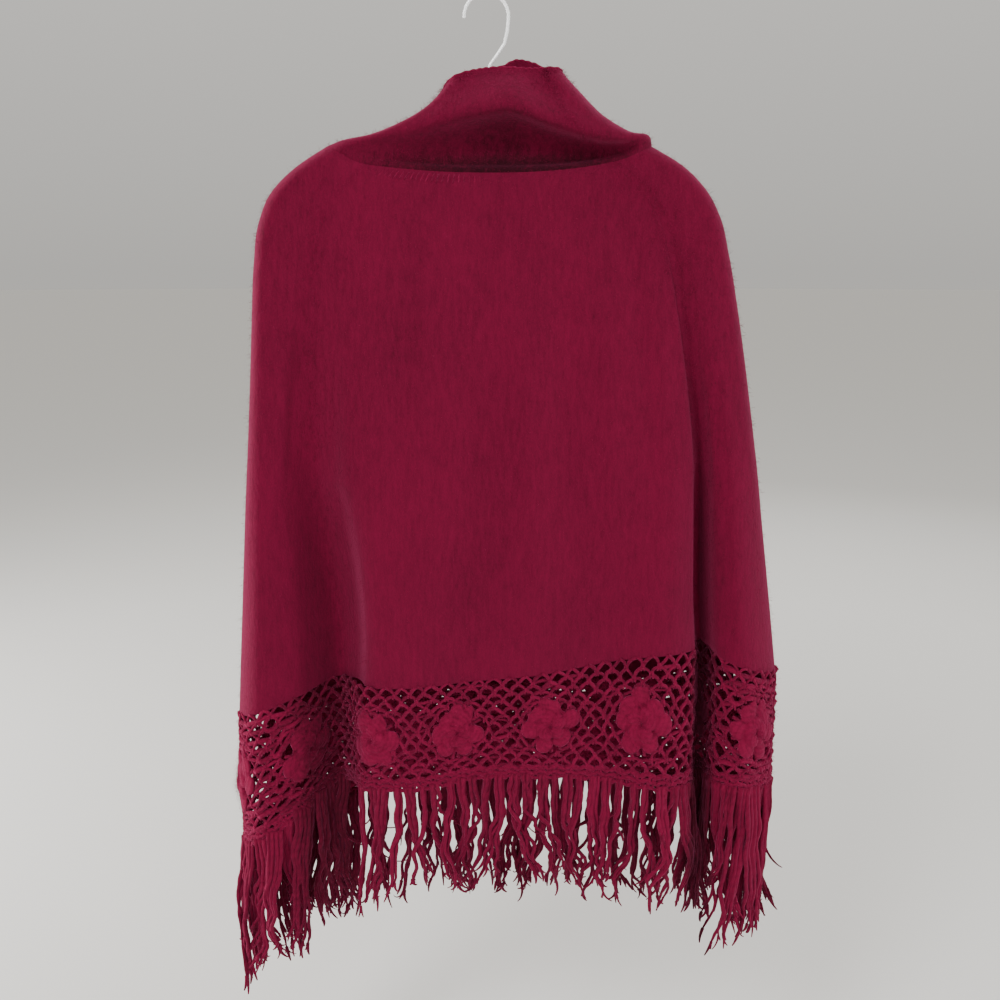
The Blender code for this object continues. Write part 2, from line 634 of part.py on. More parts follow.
def build_hanger(material):
    curve = bpy.data.curves.new("hanger", "CURVE")
    curve.dimensions = "3D"
    curve.bevel_depth = WIRE / 2
    curve.bevel_resolution = 2
    curve.use_fill_caps = True
    points = hanger_points()
    spline = curve.splines.new("POLY")
    spline.points.add(len(points) - 1)
    for place, point in zip(spline.points, points):
        place.co = (*point, 1.0)
    curve.materials.append(material)
    made = bpy.data.objects.new("hanger", curve)
    bpy.data.collections[COLLECTION].objects.link(made)
    return made


def new_material(name):
    red, green, blue, roughness, metallic = COLORS[name]
    material = bpy.data.materials.new(name)
    material.use_nodes = True
    shader = material.node_tree.nodes["Principled BSDF"]
    shader.inputs["Base Color"].default_value = (red, green, blue, 1.0)
    shader.inputs["Roughness"].default_value = roughness
    shader.inputs["Metallic"].default_value = metallic
    return material


def main():
    for old in list(bpy.data.objects):
        bpy.data.objects.remove(old, do_unlink=True)
    collection = bpy.data.collections.new(COLLECTION)
    bpy.context.scene.collection.children.link(collection)

    alpaca, crochet, fringe, wire = (new_material(name) for name in COLORS)
    body_panel("body_front", GAP / 2, FRONT_ARC - GAP / 2, FRONT_COLUMNS, alpaca)
    body_panel("body_back", FRONT_ARC + GAP / 2, ROUND - GAP / 2, BACK_COLUMNS, alpaca)
    build_collar(alpaca)

    lace_start = FIRST_FLOWER + left_of_cell(FRONT_REPEAT)
    lace_turn = lace_start + FRONT_REPEATS * FRONT_REPEAT
    stretches = (
        ("front", lace_start + GAP / 2, lace_turn - GAP / 2, FRONT_REPEATS, CREVICE_FLOWER),
        ("back", lace_turn + GAP / 2, lace_start + ROUND - GAP / 2, BACK_REPEATS, None),
    )
    for name, start, end, repeats, flattened in stretches:
        build_lace(f"lace_{name}", start, (end - start) / repeats, repeats, crochet, flattened)
        build_fringe(f"fringe_{name}", start, end, repeats * LOCKS_PER_REPEAT, fringe)
    build_hanger(wire)


main()
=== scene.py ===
"""The looks of a knitted poncho on a wire hanger: brushed cloth, crochet border, fringe.

Metres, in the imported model's own frame: +Z up, +X to the right of someone facing the poncho,
whose front looks along -Y.  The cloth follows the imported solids' rings in a finer mesh, with
slightly softer folds.  arc is the metres walked round the hem from the left edge across the
front; down is 0 at the neck seam and 1 at the hem.
"""

import math

import bpy
import numpy as np
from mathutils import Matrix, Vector


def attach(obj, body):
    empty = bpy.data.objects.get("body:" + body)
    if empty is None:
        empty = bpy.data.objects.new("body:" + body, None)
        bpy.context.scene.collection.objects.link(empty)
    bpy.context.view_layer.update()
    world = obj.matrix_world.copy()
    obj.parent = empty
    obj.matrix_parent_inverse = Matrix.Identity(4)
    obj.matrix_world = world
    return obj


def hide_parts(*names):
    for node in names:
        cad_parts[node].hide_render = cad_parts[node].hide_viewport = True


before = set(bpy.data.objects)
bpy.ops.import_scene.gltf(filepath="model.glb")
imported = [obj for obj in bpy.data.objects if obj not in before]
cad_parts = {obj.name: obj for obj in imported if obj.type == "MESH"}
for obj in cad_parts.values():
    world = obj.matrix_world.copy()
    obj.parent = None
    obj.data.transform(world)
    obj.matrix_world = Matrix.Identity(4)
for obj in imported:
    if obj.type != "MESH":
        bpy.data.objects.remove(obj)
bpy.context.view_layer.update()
RANDOM = np.random.default_rng(11)
uniform, joined = RANDOM.uniform, np.concatenate
UP = np.array((0.0, 0.0, 1.0))

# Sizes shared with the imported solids
CLOTH = 0.0025  # thickness of the knit and of the lace's wall
GAP = 0.0003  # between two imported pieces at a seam
SHOULDER_Z, FRONT_DIP, BACK_DIP = -0.1345, 0.0243, 0.012
CAP = 0.012  # how far from a side edge the cloth starts to close
FRONT_REPEATS, BACK_REPEATS = 8, 6
FRONT_REPEAT = 0.093  # width of one flower's stretch of the lace
FIRST_FLOWER = 0.015  # arc of its middle
CREVICE_FLOWER = 6  # the flower inside the right crevice
NET_COLUMNS = 6
CELL_HEIGHT = 0.108  # of the lace, laid flat
FLOWER_DOWN = 0.50
BARE_STRIP = (-0.155, -0.130)  # across, where the left valley has no locks

# The hem's ring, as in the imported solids.  lace and fringe are heights.
FOLDS = (
    # across, forward,   hem_z,  lace, fringe
    (-0.2590, 0.000, -0.6990, 0.144, 0.188),
    (-0.2360, 0.036, -0.6870, 0.148, 0.180),
    (-0.1950, 0.028, -0.6690, 0.127, 0.178),
    (-0.1520, -0.004, -0.6590, 0.115, 0.158),
    (-0.1400, 0.012, -0.6580, 0.112, 0.146),
    (-0.1240, 0.044, -0.6520, 0.111, 0.140),
    (-0.0800, 0.054, -0.6520, 0.111, 0.137),
    (-0.0200, 0.050, -0.6450, 0.106, 0.138),
    (0.0450, 0.056, -0.6375, 0.107, 0.135),
    (0.1150, 0.051, -0.6250, 0.126, 0.138),
    (0.1930, 0.052, -0.6135, 0.148, 0.140),
    (0.2050, 0.041, -0.6150, 0.147, 0.150),
    (0.2085, 0.018, -0.6170, 0.145, 0.150),
    (0.2175, 0.002, -0.6180, 0.144, 0.150),
    (0.2265, 0.016, -0.6190, 0.143, 0.160),
    (0.2340, 0.034, -0.6230, 0.140, 0.190),
    (0.2510, 0.043, -0.6330, 0.134, 0.205),
    (0.2810, 0.028, -0.6450, 0.127, 0.218),
    (0.2970, 0.000, -0.6510, 0.127, 0.160),
    (0.2800, -0.032, -0.6560, 0.127, 0.178),
    (0.2150, -0.047, -0.6660, 0.128, 0.156),
    (0.1300, -0.034, -0.6740, 0.121, 0.150),
    (0.0450, -0.047, -0.6800, 0.112, 0.148),
    (-0.0400, -0.035, -0.6830, 0.111, 0.148),
    (-0.1250, -0.048, -0.6880, 0.118, 0.148),
    (-0.1950, -0.036, -0.6960, 0.138, 0.156),
    (-0.2420, -0.033, -0.7000, 0.147, 0.174),
)
RIGHT_EDGE = 18  # row of the fold at the right edge, where the front ends
EASES = np.linspace(-0.035, 0.035, 15)  # arcs over which the ring's heights are evened

# The body's levels.  folds, the share of the hem's folds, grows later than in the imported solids.
LEVELS = (
    # down,   left,   right, front,  back, folds, spread
    (0.00, -0.1505, 0.1555, 0.020, 0.016, 0.00, 1.00),
    (0.03, -0.1775, 0.1824, 0.021, 0.017, 0.00, 1.00),
    (0.07, -0.2022, 0.2052, 0.022, 0.018, 0.00, 1.00),
    (0.12, -0.2160, 0.2208, 0.024, 0.020, 0.01, 1.00),
    (0.19, -0.2226, 0.2310, 0.026, 0.022, 0.05, 1.00),
    (0.28, -0.2266, 0.2405, 0.029, 0.024, 0.13, 1.00),
    (0.38, -0.2306, 0.2498, 0.032, 0.026, 0.25, 1.00),
    (0.50, -0.2360, 0.2600, 0.035, 0.029, 0.42, 0.98),
    (0.60, -0.2410, 0.2682, 0.038, 0.031, 0.58, 0.86),
    (0.70, -0.2457, 0.2755, 0.040, 0.033, 0.77, 0.62),
    (0.80, -0.2503, 0.2830, 0.042, 0.034, 0.92, 0.34),
    (0.90, -0.2548, 0.2902, 0.044, 0.035, 0.98, 0.10),
    (1.00, -0.2590, 0.2970, 0.045, 0.036, 1.00, 0.00),
)
# How far the folds lie aside of the hem's, higher up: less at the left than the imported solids'.
SPREAD = (
    # across, shift
    (-1.00, 0.000),
    (-0.90, -0.020),
    (-0.62, -0.110),
    (-0.51, -0.055),
    (-0.25, -0.010),
    (0.30, 0.010),
    (0.60, 0.050),
    (0.72, 0.060),
    (0.88, 0.025),
    (1.00, 0.000),
)
# The collar's rings.  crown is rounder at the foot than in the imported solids, like NECK_CROWN.
NECK_CROWN = 2.6
COLLAR = (
    # rise,   left,  right, left_z,  right_z, front_z,  back_z, front,  back, crown
    (0.00, -0.1505, 0.1555, -0.1345, -0.1345, -0.1588, -0.1465, 0.020, 0.016, 2.8),
    (0.14, -0.1350, 0.1520, -0.1290, -0.1245, -0.1460, -0.1350, 0.023, 0.020, 3.2),
    (0.30, -0.1080, 0.1340, -0.1240, -0.1212, -0.1300, -0.1200, 0.026, 0.024, 3.3),
    (0.45, -0.0830, 0.1090, -0.1150, -0.1070, -0.1140, -0.1060, 0.028, 0.027, 3.2),
    (0.60, -0.0640, 0.0890, -0.1060, -0.0880, -0.0990, -0.0930, 0.028, 0.027, 2.8),
    (0.78, -0.0490, 0.0750, -0.0940, -0.0735, -0.0805, -0.0750, 0.024, 0.024, 2.4),
    (0.90, -0.0430, 0.0722, -0.0865, -0.0700, -0.0695, -0.0640, 0.020, 0.022, 2.2),
    (1.00, -0.0400, 0.0705, -0.0815, -0.0670, -0.0618, -0.0545, 0.018, 0.021, 2.0),
)
# The ridge along which the collar's front rolls forward, and the hollow under it
RIDGE = (
    # across, rise, ridge, hollow, droop
    (-1.00, 0.28, 0.000, 0.000, 0.000),
    (-0.65, 0.44, 0.008, 0.009, 0.001),
    (-0.25, 0.56, 0.015, 0.019, 0.004),
    (0.20, 0.60, 0.020, 0.022, 0.006),
    (0.55, 0.47, 0.016, 0.017, 0.006),
    (0.82, 0.33, 0.010, 0.008, 0.004),
    (1.00, 0.22, 0.000, 0.000, 0.000),
)
RIDGE_WIDTH, RIDGE_UNDER = 0.20, 0.095  # in rise, above the ridge and under it
HOLLOW_WIDTH, HOLLOW_SHARE = 0.22, 0.44  # in rise, and its middle as a share of the ridge's rise
ROLL_START = 0.08  # rise up to which the roll grows from nothing
RIM_BUMP = (0.0020, -0.0060)  # how the rim's back is raised at its bump and lowered beside it
FRONT_RIM_LOWERED = 0.0052
SEAM_GROOVE = 0.0030  # by which the cloth is drawn in along the neck seam
SEAM_EASE = 0.16  # rise over which the collar's foot settles on the body's neck seam

BODY_COLUMNS, BODY_ROWS = (160, 84), 88  # columns of the front and of the back
COLLAR_COLUMNS, COLLAR_ROWS = (96, 50), 50

# Where yarn is darker, deep in the front's folds
SHADED_FOLDS = (
    # across, half width, depth
    (-0.1640, 0.0340, 0.75),
    (0.2175, 0.0120, 1.50),
)
# Painted light: the back's net is coloured lighter, for light reaching its inner face seen through the
# front's holes; its flowers are lightened to match.
BACK_NET_PAINTED_LIGHT, BACK_FLOWERS_PAINTED_LIGHT = 0.55, 0.25
BACK_FLOWERS_OUT = 0.0030  # they lie on the back's thicker net

# Soft creases of the body.  Each runs from (across, down) to (across, down) on its side.
CREASES = {
    # across_0, down_0, across_1, down_1, width, depth
    "front": (
        (-0.30, 0.10, -0.42, 1.00, 0.050, -0.0030),
        (-0.16, 0.25, -0.20, 1.00, 0.045, 0.0022),
        (-0.02, 0.12, -0.04, 0.95, 0.055, -0.0026),
        (0.12, 0.30, 0.10, 1.00, 0.040, 0.0020),
        (0.27, 0.15, 0.24, 0.90, 0.050, -0.0024),
        (0.42, 0.28, 0.38, 1.00, 0.040, 0.0022),
        (0.55, 0.10, 0.52, 0.80, 0.040, -0.0020),
        (-0.62, 0.08, -0.78, 0.75, 0.045, -0.0024),
        (-0.55, 0.60, -0.555, 1.12, 0.060, -0.0100),
        (0.70, 0.60, 0.714, 1.04, 0.018, -0.0050),
    ),
    "back": (
        (-0.60, 0.05, -0.72, 0.95, 0.060, -0.0040),
        (-0.32, 0.20, -0.36, 1.00, 0.050, 0.0034),
        (-0.05, 0.08, -0.08, 0.90, 0.060, -0.0036),
        (0.22, 0.30, 0.20, 1.00, 0.050, 0.0030),
        (0.48, 0.06, 0.55, 0.95, 0.055, -0.0038),
        (0.75, 0.25, 0.78, 1.00, 0.045, 0.0030),
    ),
}


def smooth(knots, values, at):
    """A curve through a table's points, with the slope of its neighbours at each of them."""
    knots = np.asarray(knots, float)
    values = np.asarray(values, float)
    step = np.diff(knots)
    rise = np.diff(values) / step
    slope = joined(
        ([rise[0]], (step[1:] * rise[:-1] + step[:-1] * rise[1:]) / (step[1:] + step[:-1]), [rise[-1]])
    )
    i = np.clip(np.searchsorted(knots, at, side="right") - 1, 0, len(step) - 1)
    t = (at - knots[i]) / step[i]
    start = values[i] * (1 + 2 * t) * (1 - t) ** 2 + slope[i] * step[i] * t * (1 - t) ** 2
    end = values[i + 1] * t**2 * (3 - 2 * t) + slope[i + 1] * step[i] * t**2 * (t - 1)
    return start + end


def table_at(table, at):
    """A table's other columns, read at values of its first one."""
    knots, *columns = zip(*table)
    return [smooth(knots, values, at) for values in columns]


def clamp(values):
    return np.clip(values, 0.0, 1.0)


def shares(count):
    return np.linspace(0.0, 1.0, count)


def bell(off, width, power=2):
    """A smooth hump, one high in its middle; power 4 has a flatter top."""
    return np.exp(-((off / width) ** power))


def stacked(*parts):
    """Numbers side by side along a new last axis, such as a point's three."""
    return np.stack(parts, axis=-1)


def unit(vectors):
    return vectors / np.linalg.norm(vectors, axis=-1, keepdims=True)


def walked(points):
    """How far along a line each of its points is."""
    steps = np.linalg.norm(np.diff(points, axis=-2), axis=-1)
    return joined([np.zeros_like(steps[..., :1]), np.cumsum(steps, axis=-1)], axis=-1)


def turns(count):
    """Angles of even steps all the way round."""
    return np.arange(count) * 2 * math.pi / count


def scatter(spread, *size):
    """Random numbers on both sides of nothing."""
    return RANDOM.normal(0.0, spread, size or None)


def hem_ring():
    """The hem's smooth closed ring: columns arc, across, forward, hem_z, lace, fringe."""
    rows = np.array(FOLDS)
    chords = np.linalg.norm(np.roll(rows, -1, 0)[:, :2] - rows[:, :2], axis=1)
    round_length = chords.sum()
    knots = joined([walked(rows[:, :2]) + turn * round_length for turn in (-1, 0, 1)])
    at = np.linspace(0.0, round_length, 2401)
    ring = np.stack([smooth(knots, np.tile(rows[:, i], 3), at) for i in range(5)], axis=1)
    arc = walked(ring[:, :2])
    front_arc = np.interp(knots[len(FOLDS) + RIGHT_EDGE], at, arc)
    for i in range(2, 5):
        ring[:, i] = np.mean([np.interp(arc + d, arc, ring[:, i], period=arc[-1]) for d in EASES], axis=0)
    return np.column_stack([arc, ring]), front_arc


RING, FRONT_ARC = hem_ring()
ROUND = RING[-1, 0]
HEM_LEFT, HEM_RIGHT = RING[:, 1].min(), RING[:, 1].max()
ACROSS, FORWARD, HEM_Z, LACE, FRINGE = range(1, 6)
LACE_START = FIRST_FLOWER - (NET_COLUMNS + 1) / 2 * FRONT_REPEAT / NET_COLUMNS
LACE_TURN = LACE_START + FRONT_REPEATS * FRONT_REPEAT
BACK_REPEAT = (ROUND - FRONT_REPEATS * FRONT_REPEAT) / BACK_REPEATS


def hem(arc, column):
    return np.interp(np.mod(arc, ROUND), RING[:, 0], RING[:, column])


def outward(arc):
    """Level unit vectors out of the hem."""
    reach = 0.0015
    tangent = [hem(arc + reach, column) - hem(arc - reach, column) for column in (ACROSS, FORWARD)]
    x, y = np.moveaxis(unit(stacked(*tangent)), -1, 0)
    return stacked(-y, -x, 0 * x)


def side_cap(across, half):
    inset = clamp((np.abs(across) * half - (half - CAP)) / CAP)
    return np.sqrt(1.0 - inset**2)


def mid_wall(left, right):
    """The left edge and half width of the cloth's mid-wall, between its outer edges."""
    left, right = left + CLOTH / 2, right - CLOTH / 2
    return left, (right - left) / 2


def across_of(arc):
    return 2.0 * (hem(arc, ACROSS) - HEM_LEFT) / (HEM_RIGHT - HEM_LEFT) - 1.0


def is_front(arc):
    return np.mod(arc, ROUND) <= FRONT_ARC


def neck_z(arc):
    dip = np.where(is_front(arc), FRONT_DIP, BACK_DIP)
    return SHOULDER_Z - dip * (1.0 - np.abs(across_of(arc)) ** NECK_CROWN)


def body_point(arc, down):
    """Points of the body's mid-wall."""
    arc, down = np.broadcast_arrays(arc, down)
    left, right, front_depth, back_depth, folds, spread = table_at(LEVELS, down)
    left, half = mid_wall(left, right)
    across, front = across_of(arc), is_front(arc)
    across = across + np.where(front, table_at(SPREAD, across)[0], 0.0) * spread
    depth = np.where(front, front_depth, -back_depth)
    depth = depth - np.sign(depth) * SEAM_GROOVE * bell(down, 0.010)
    forward = (1 - folds) * depth * side_cap(across, half) + folds * hem(arc, FORWARD)
    z = neck_z(arc) + down * (hem(arc, HEM_Z) - neck_z(arc))
    return stacked(left + (across + 1) * half, -forward, z)


def rim_shift(across, front):
    """How far the collar's finished rim is raised, along its front and behind a bump of its back."""
    bump = bell(across - 0.44, 0.36, 4)
    behind = RIM_BUMP[1] + (RIM_BUMP[0] - RIM_BUMP[1]) * bump
    return np.where(front, -FRONT_RIM_LOWERED * bell(across - 0.02, 0.72, 4), behind)


def collar_point(arc, rise):
    """Points of the collar's mid-wall, above the body's point at the same arc."""
    arc, rise = np.broadcast_arrays(arc, rise)
    across, front = across_of(arc), is_front(arc)
    left, right, *levels, front_depth, back_depth, crown = table_at(COLLAR, rise)
    left, half = mid_wall(left, right)
    left_z, right_z, front_z, back_z = levels
    ridge_rise, ridge, hollow, droop = table_at(RIDGE, across)
    off = rise - ridge_rise
    nose = bell(off, np.where(off > 0, RIDGE_WIDTH, RIDGE_UNDER))
    sunk = bell(rise - ridge_rise * HOLLOW_SHARE, HOLLOW_WIDTH)
    roll = (ridge * nose - hollow * sunk) * clamp(rise / ROLL_START)
    depth = np.where(front, front_depth + roll, -back_depth)
    side_z = left_z + (across + 1) / 2 * (right_z - left_z)
    z = side_z + (np.where(front, front_z, back_z) - side_z) * (1.0 - np.abs(across) ** crown)
    z = z - np.where(front, droop * nose, 0.0)
    z = z + clamp((rise - 0.72) / 0.28) ** 1.5 * rim_shift(across, front)
    return stacked(left + (across + 1) * half, -depth * side_cap(across, half), z)


def lace_point(arc, down, out=0.0):
    """Points of the lace: down is 0 at the hem and 1 at its lower edge, out is off the mid-wall."""
    arc, down, out = np.broadcast_arrays(arc, down, out)
    z = hem(arc, HEM_Z) - GAP - down * hem(arc, LACE)
    level = stacked(hem(arc, ACROSS), -hem(arc, FORWARD), z)
    return level + outward(arc) * out[..., None]


def fold_columns(start, end, count):
    """Arcs from start to end, closer together where the hem turns."""
    metres_a_column, turn_a_column = 0.024, 0.45
    arc = np.linspace(start, end, 1500)
    heading = np.unwrap(np.arctan2(*np.moveaxis(outward(arc), -1, 0)[:2]))
    steps = np.diff(arc) / metres_a_column + np.abs(np.diff(heading)) / turn_a_column
    passed = joined(([0.0], np.cumsum(steps)))
    return np.interp(np.linspace(0.0, passed[-1], count), passed, arc)


# ---- meshes


def mesh_object(name, points, faces, material, body="root"):
    """An object from an array of points and a list of face arrays, one for each face size."""
    points = np.asarray(points, np.float32).reshape(-1, 3)
    mesh = bpy.data.meshes.new(name)
    mesh.vertices.add(len(points))
    mesh.vertices.foreach_set("co", points.ravel())
    sizes = joined([np.full(len(f), f.shape[1]) for f in faces])
    mesh.loops.add(int(sizes.sum()))
    mesh.loops.foreach_set("vertex_index", joined([f.ravel() for f in faces]).astype(np.int32))
    mesh.polygons.add(len(sizes))
    starts = joined(([0], np.cumsum(sizes)[:-1]))
    mesh.polygons.foreach_set("loop_start", starts.astype(np.int32))
    mesh.polygons.foreach_set("use_smooth", np.ones(len(sizes), bool))
    mesh.update(calc_edges=True)
    mesh.materials.append(material)
    made = bpy.data.objects.new(name, mesh)
    bpy.context.scene.collection.objects.link(made)
    if body:
        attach(made, body)
    return made


def set_attribute(made, name, values, kind="FLOAT", key="value"):
    """A number or vector for each vertex, for the material to read."""
    layer = made.data.attributes.new(name, kind, "POINT")
    layer.data.foreach_set(key, np.asarray(values, np.float32).ravel())


def ring_quads(rows):
    """Faces between each closed row of points and the next."""
    turned = np.roll(rows, -1, 1)
    return stacked(rows[1:], turned[1:], turned[:-1], rows[:-1]).reshape(-1, 4)


def grid_normal(middle):
    round_step = np.roll(middle, -1, 1) - np.roll(middle, 1, 1)
    return unit(np.cross(np.gradient(middle, axis=0), round_step))


def tube_shell(name, middle, material, edge=3):
    """Cloth on a closed ring of mid-wall points, rows by columns, with round edges."""
    normal = grid_normal(middle)
    half = CLOTH / 2
    angles = np.linspace(0, math.pi, edge + 2)[1:-1]
    low, high = unit(middle[-1] - middle[-2]), unit(middle[0] - middle[1])
    rows = list(middle + normal * half)
    rows += [middle[-1] + half * (math.cos(a) * normal[-1] + math.sin(a) * low) for a in angles]
    rows += list((middle - normal * half)[::-1])
    rows += [middle[0] + half * (-math.cos(a) * normal[0] + math.sin(a) * high) for a in angles]
    index = np.arange(len(rows) * middle.shape[1]).reshape(len(rows), -1)
    return mesh_object(name, rows, [ring_quads(np.vstack([index, index[:1]]))], material), normal


def level_up(paths):
    """Level directions across tubes, near enough to their surface's normal."""
    chord = paths[:, -1] - paths[:, 0]
    level = stacked(chord[:, 1], -chord[:, 0], 0 * chord[:, 0])
    level[np.linalg.norm(level, axis=1) < 1e-4] = (0.0, -1.0, 0.0)
    return unit(level)[:, None, :]


def fold_shade(across, forward):
    """How much darker yarn is deep in the front's folds, which soft light barely reaches."""
    total = 0.0
    for middle, half, depth in SHADED_FOLDS:
        total = total + depth * bell(across - middle, half, 4)
    return total * clamp((forward + 0.020) / 0.012)


class Bundle:
    """Tubes and other shapes that are gathered into one object."""

    def __init__(self):
        self.points, self.faces, self.shades, self.yarns, self.count = [], {}, [], [], 0

    def add(self, points, faces, shade=0.5, yarn=(0.0, 0.0, 0.0)):
        for f in faces:
            self.faces.setdefault(f.shape[1], []).append(f + self.count)
        self.points.append(points)
        self.shades.append(np.broadcast_to(shade, len(points)))
        self.yarns.append(np.broadcast_to(yarn, (len(points), 3)))
        self.count += len(points)

    def add_tubes(self, paths, radii, shade=0.5, up=None, sides=6):
        """Adds many tubes, along paths of tubes x steps x 3.  up sets where each ring starts.

        Their yarn coordinates are the millimetres along a tube, and the cosine and sine of the
        angle round it.
        """
        count, steps = paths.shape[:2]
        shape = (count, steps, sides)
        tangent = unit(np.gradient(paths, axis=1))
        up = level_up(paths) if up is None else up
        side = unit(np.cross(tangent, np.broadcast_to(up, tangent.shape)))
        other = np.cross(side, tangent)
        angle = turns(sides)
        ring = side[..., None, :] * np.cos(angle)[:, None] + other[..., None, :] * np.sin(angle)[:, None]
        points = paths[:, :, None] + np.broadcast_to(radii, (count, steps))[..., None, None] * ring
        index = np.arange(math.prod(shape)).reshape(shape)
        turned = np.roll(index, -1, 2)
        walls = stacked(index[:, :-1], index[:, 1:], turned[:, 1:], turned[:, :-1]).reshape(-1, 4)
        along = walked(paths)[..., None] * 1000.0
        yarn = stacked(*(np.broadcast_to(part, shape) for part in (along, np.cos(angle), np.sin(angle))))
        shades = np.repeat(np.broadcast_to(shade, count), steps * sides)
        ends = [index[:, 0], index[:, -1, ::-1]]
        self.add(points.reshape(-1, 3), [walls, *ends], shades, yarn.reshape(-1, 3))

    def build(self, name, material):
        faces = [joined(found) for found in self.faces.values()]
        points = joined(self.points)
        made = mesh_object(name, points, faces, material)
        set_attribute(made, "shade", joined(self.shades) - fold_shade(points[:, 0], -points[:, 1]))
        set_attribute(made, "yarn", joined(self.yarns), "FLOAT_VECTOR", "vector")
        return made


# ---- materials


class Nodes:
    """The nodes of a material or world, added one by one and linked by name."""

    def __init__(self, kept_in, name, shader="Principled BSDF"):
        self.owner = kept_in.new(name)
        self.owner.use_nodes = True
        self.tree = self.owner.node_tree
        self.shader = self.tree.nodes[shader]

    def put(self, node, inputs):
        for key, value in inputs.items():
            if isinstance(value, bpy.types.NodeSocket):
                self.tree.links.new(value, node.inputs[key])
            else:
                node.inputs[key].default_value = value

    def add(self, kind, inputs=None, output=0, **settings):
        """A new node's output."""
        node = self.tree.nodes.new("ShaderNode" + kind)
        for key, value in settings.items():
            setattr(node, key, value)
        self.put(node, inputs or {})
        return node.outputs[output]

    def math(self, operation, a, b=0.0):
        return self.add("Math", {0: a, 1: b}, operation=operation)

    def mix(self, *terms):
        """The sum of values, each times its share."""
        total, *others = [self.math("MULTIPLY", *term) for term in terms]
        for part in others:
            total = self.math("ADD", total, part)
        return total

    def attribute(self, name, output="Fac"):
        return self.add("Attribute", output=output, attribute_name=name)

    def noise(self, scale, detail=2.0, stretch=(1.0, 1.0, 1.0), place=None):
        """Noise in the object's own coordinates, or in those of place."""
        place = place or self.add("TexCoord", output="Object")
        where = self.add("Mapping", {"Vector": place, "Scale": stretch})
        return self.add("TexNoise", {"Vector": where, "Scale": scale, "Detail": detail}, "Fac")

    def ramp(self, value, places, color, factors):
        """Shades of a colour by a value: the colour times each factor at its place."""
        made = self.add("ValToRGB", {"Fac": value}, "Color")
        elements = made.node.color_ramp.elements
        while len(elements) < len(places):
            elements.new(0.5)
        for element, place, factor in zip(elements, places, factors):
            element.position = place
            element.color = (*(c * factor for c in color), 1.0)
        return made

    def bump(self, height, strength, distance, **over):
        inputs = {"Height": height, "Strength": strength, "Distance": distance, **over}
        return self.add("Bump", inputs, "Normal")

    def wool(self, color, roughness, sheen, sheen_roughness, normal):
        """Dull wool with a soft sheen."""
        self.put(self.shader, {
            "Base Color": color, "Roughness": roughness, "Specular IOR Level": 0.12, "Normal": normal,
            "Sheen Weight": sheen, "Sheen Roughness": sheen_roughness, "Sheen Tint": SHEEN_TINT,
        })
        return self.owner


SHEEN_TINT = (0.90, 0.12, 0.34, 1.0)


def ply_height(nodes, yarn, plies, pitch):
    """Height of twisted yarn: plies that wind round it once in pitch millimetres."""
    parts = nodes.add("SeparateXYZ", {"Vector": yarn}).node.outputs
    angle = nodes.math("ARCTAN2", parts["Z"], parts["Y"])
    turned = nodes.mix((angle, float(plies)), (parts["X"], 2 * math.pi / pitch))
    return nodes.math("ABSOLUTE", nodes.math("COSINE", nodes.math("MULTIPLY", turned, 0.5)))


def yarn_material(name, color, sheen, plies, pitch, twist):
    """Fuzzy alpaca yarn: mottled wine red, streaked along its fibres, with a soft sheen."""
    nodes = Nodes(bpy.data.materials, name)
    yarn = nodes.attribute("yarn", "Vector")
    fibres = nodes.noise(1.6, 3.0, (0.11, 1.9, 1.9), yarn)
    ply = ply_height(nodes, yarn, plies, pitch)
    mottled = nodes.noise(210.0, 3.0)
    # shade holds each yarn's own tone together with painted shade and painted light set where the yarn is
    # built.
    mixed = nodes.mix((mottled, 0.30), (fibres, 0.32), (nodes.attribute("shade"), 0.30), (ply, 0.08))
    wool = nodes.ramp(mixed, (0.06, 0.30, 0.52, 0.75), color, (0.18, 0.50, 1.0, 1.45))
    fine = nodes.bump(nodes.noise(1100.0), 0.5, 0.0005)
    streaked = nodes.bump(fibres, 0.6, 0.0007, Normal=fine)
    return nodes.wool(wool, 0.92, sheen, 0.45, nodes.bump(ply, twist, 0.0006, Normal=streaked))


def knit_material(name, color, sheen):
    """Brushed alpaca knit: heathered, and napped downwards."""
    nodes = Nodes(bpy.data.materials, name)
    clouds = nodes.noise(17.0, 3.0, (1.0, 1.0, 0.4))
    streaks = nodes.noise(260.0, 3.0, (1.0, 1.0, 0.22))
    heather = nodes.noise(850.0, 2.0, (1.0, 1.0, 0.5))
    # painted_shade: painted shade that darkens the collar's knit in its hollow and along its foot
    mixed = nodes.mix((clouds, 0.27), (streaks, 0.36), (heather, 0.37), (nodes.attribute("painted_shade"), -0.12))
    wool = nodes.ramp(mixed, (0.12, 0.30, 0.38, 0.50, 0.64), color, (0.15, 0.55, 0.80, 1.0, 1.20))
    nap = nodes.bump(nodes.noise(420.0, 3.0, (1.0, 1.0, 0.4)), 0.5, 0.0012)
    return nodes.wool(wool, 0.95, sheen, 0.5, nodes.bump(nodes.noise(1300.0, 1.0), 0.4, 0.0004, Normal=nap))


def wire_material():
    nodes = Nodes(bpy.data.materials, "coated_wire_finish")
    coat = nodes.bump(nodes.noise(700.0), 0.08, 0.0002)
    look = {"Base Color": (0.95, 0.96, 0.97, 1.0), "Roughness": 0.32, "Coat Weight": 0.35, "Normal": coat}
    nodes.put(nodes.shader, look)
    return nodes.owner


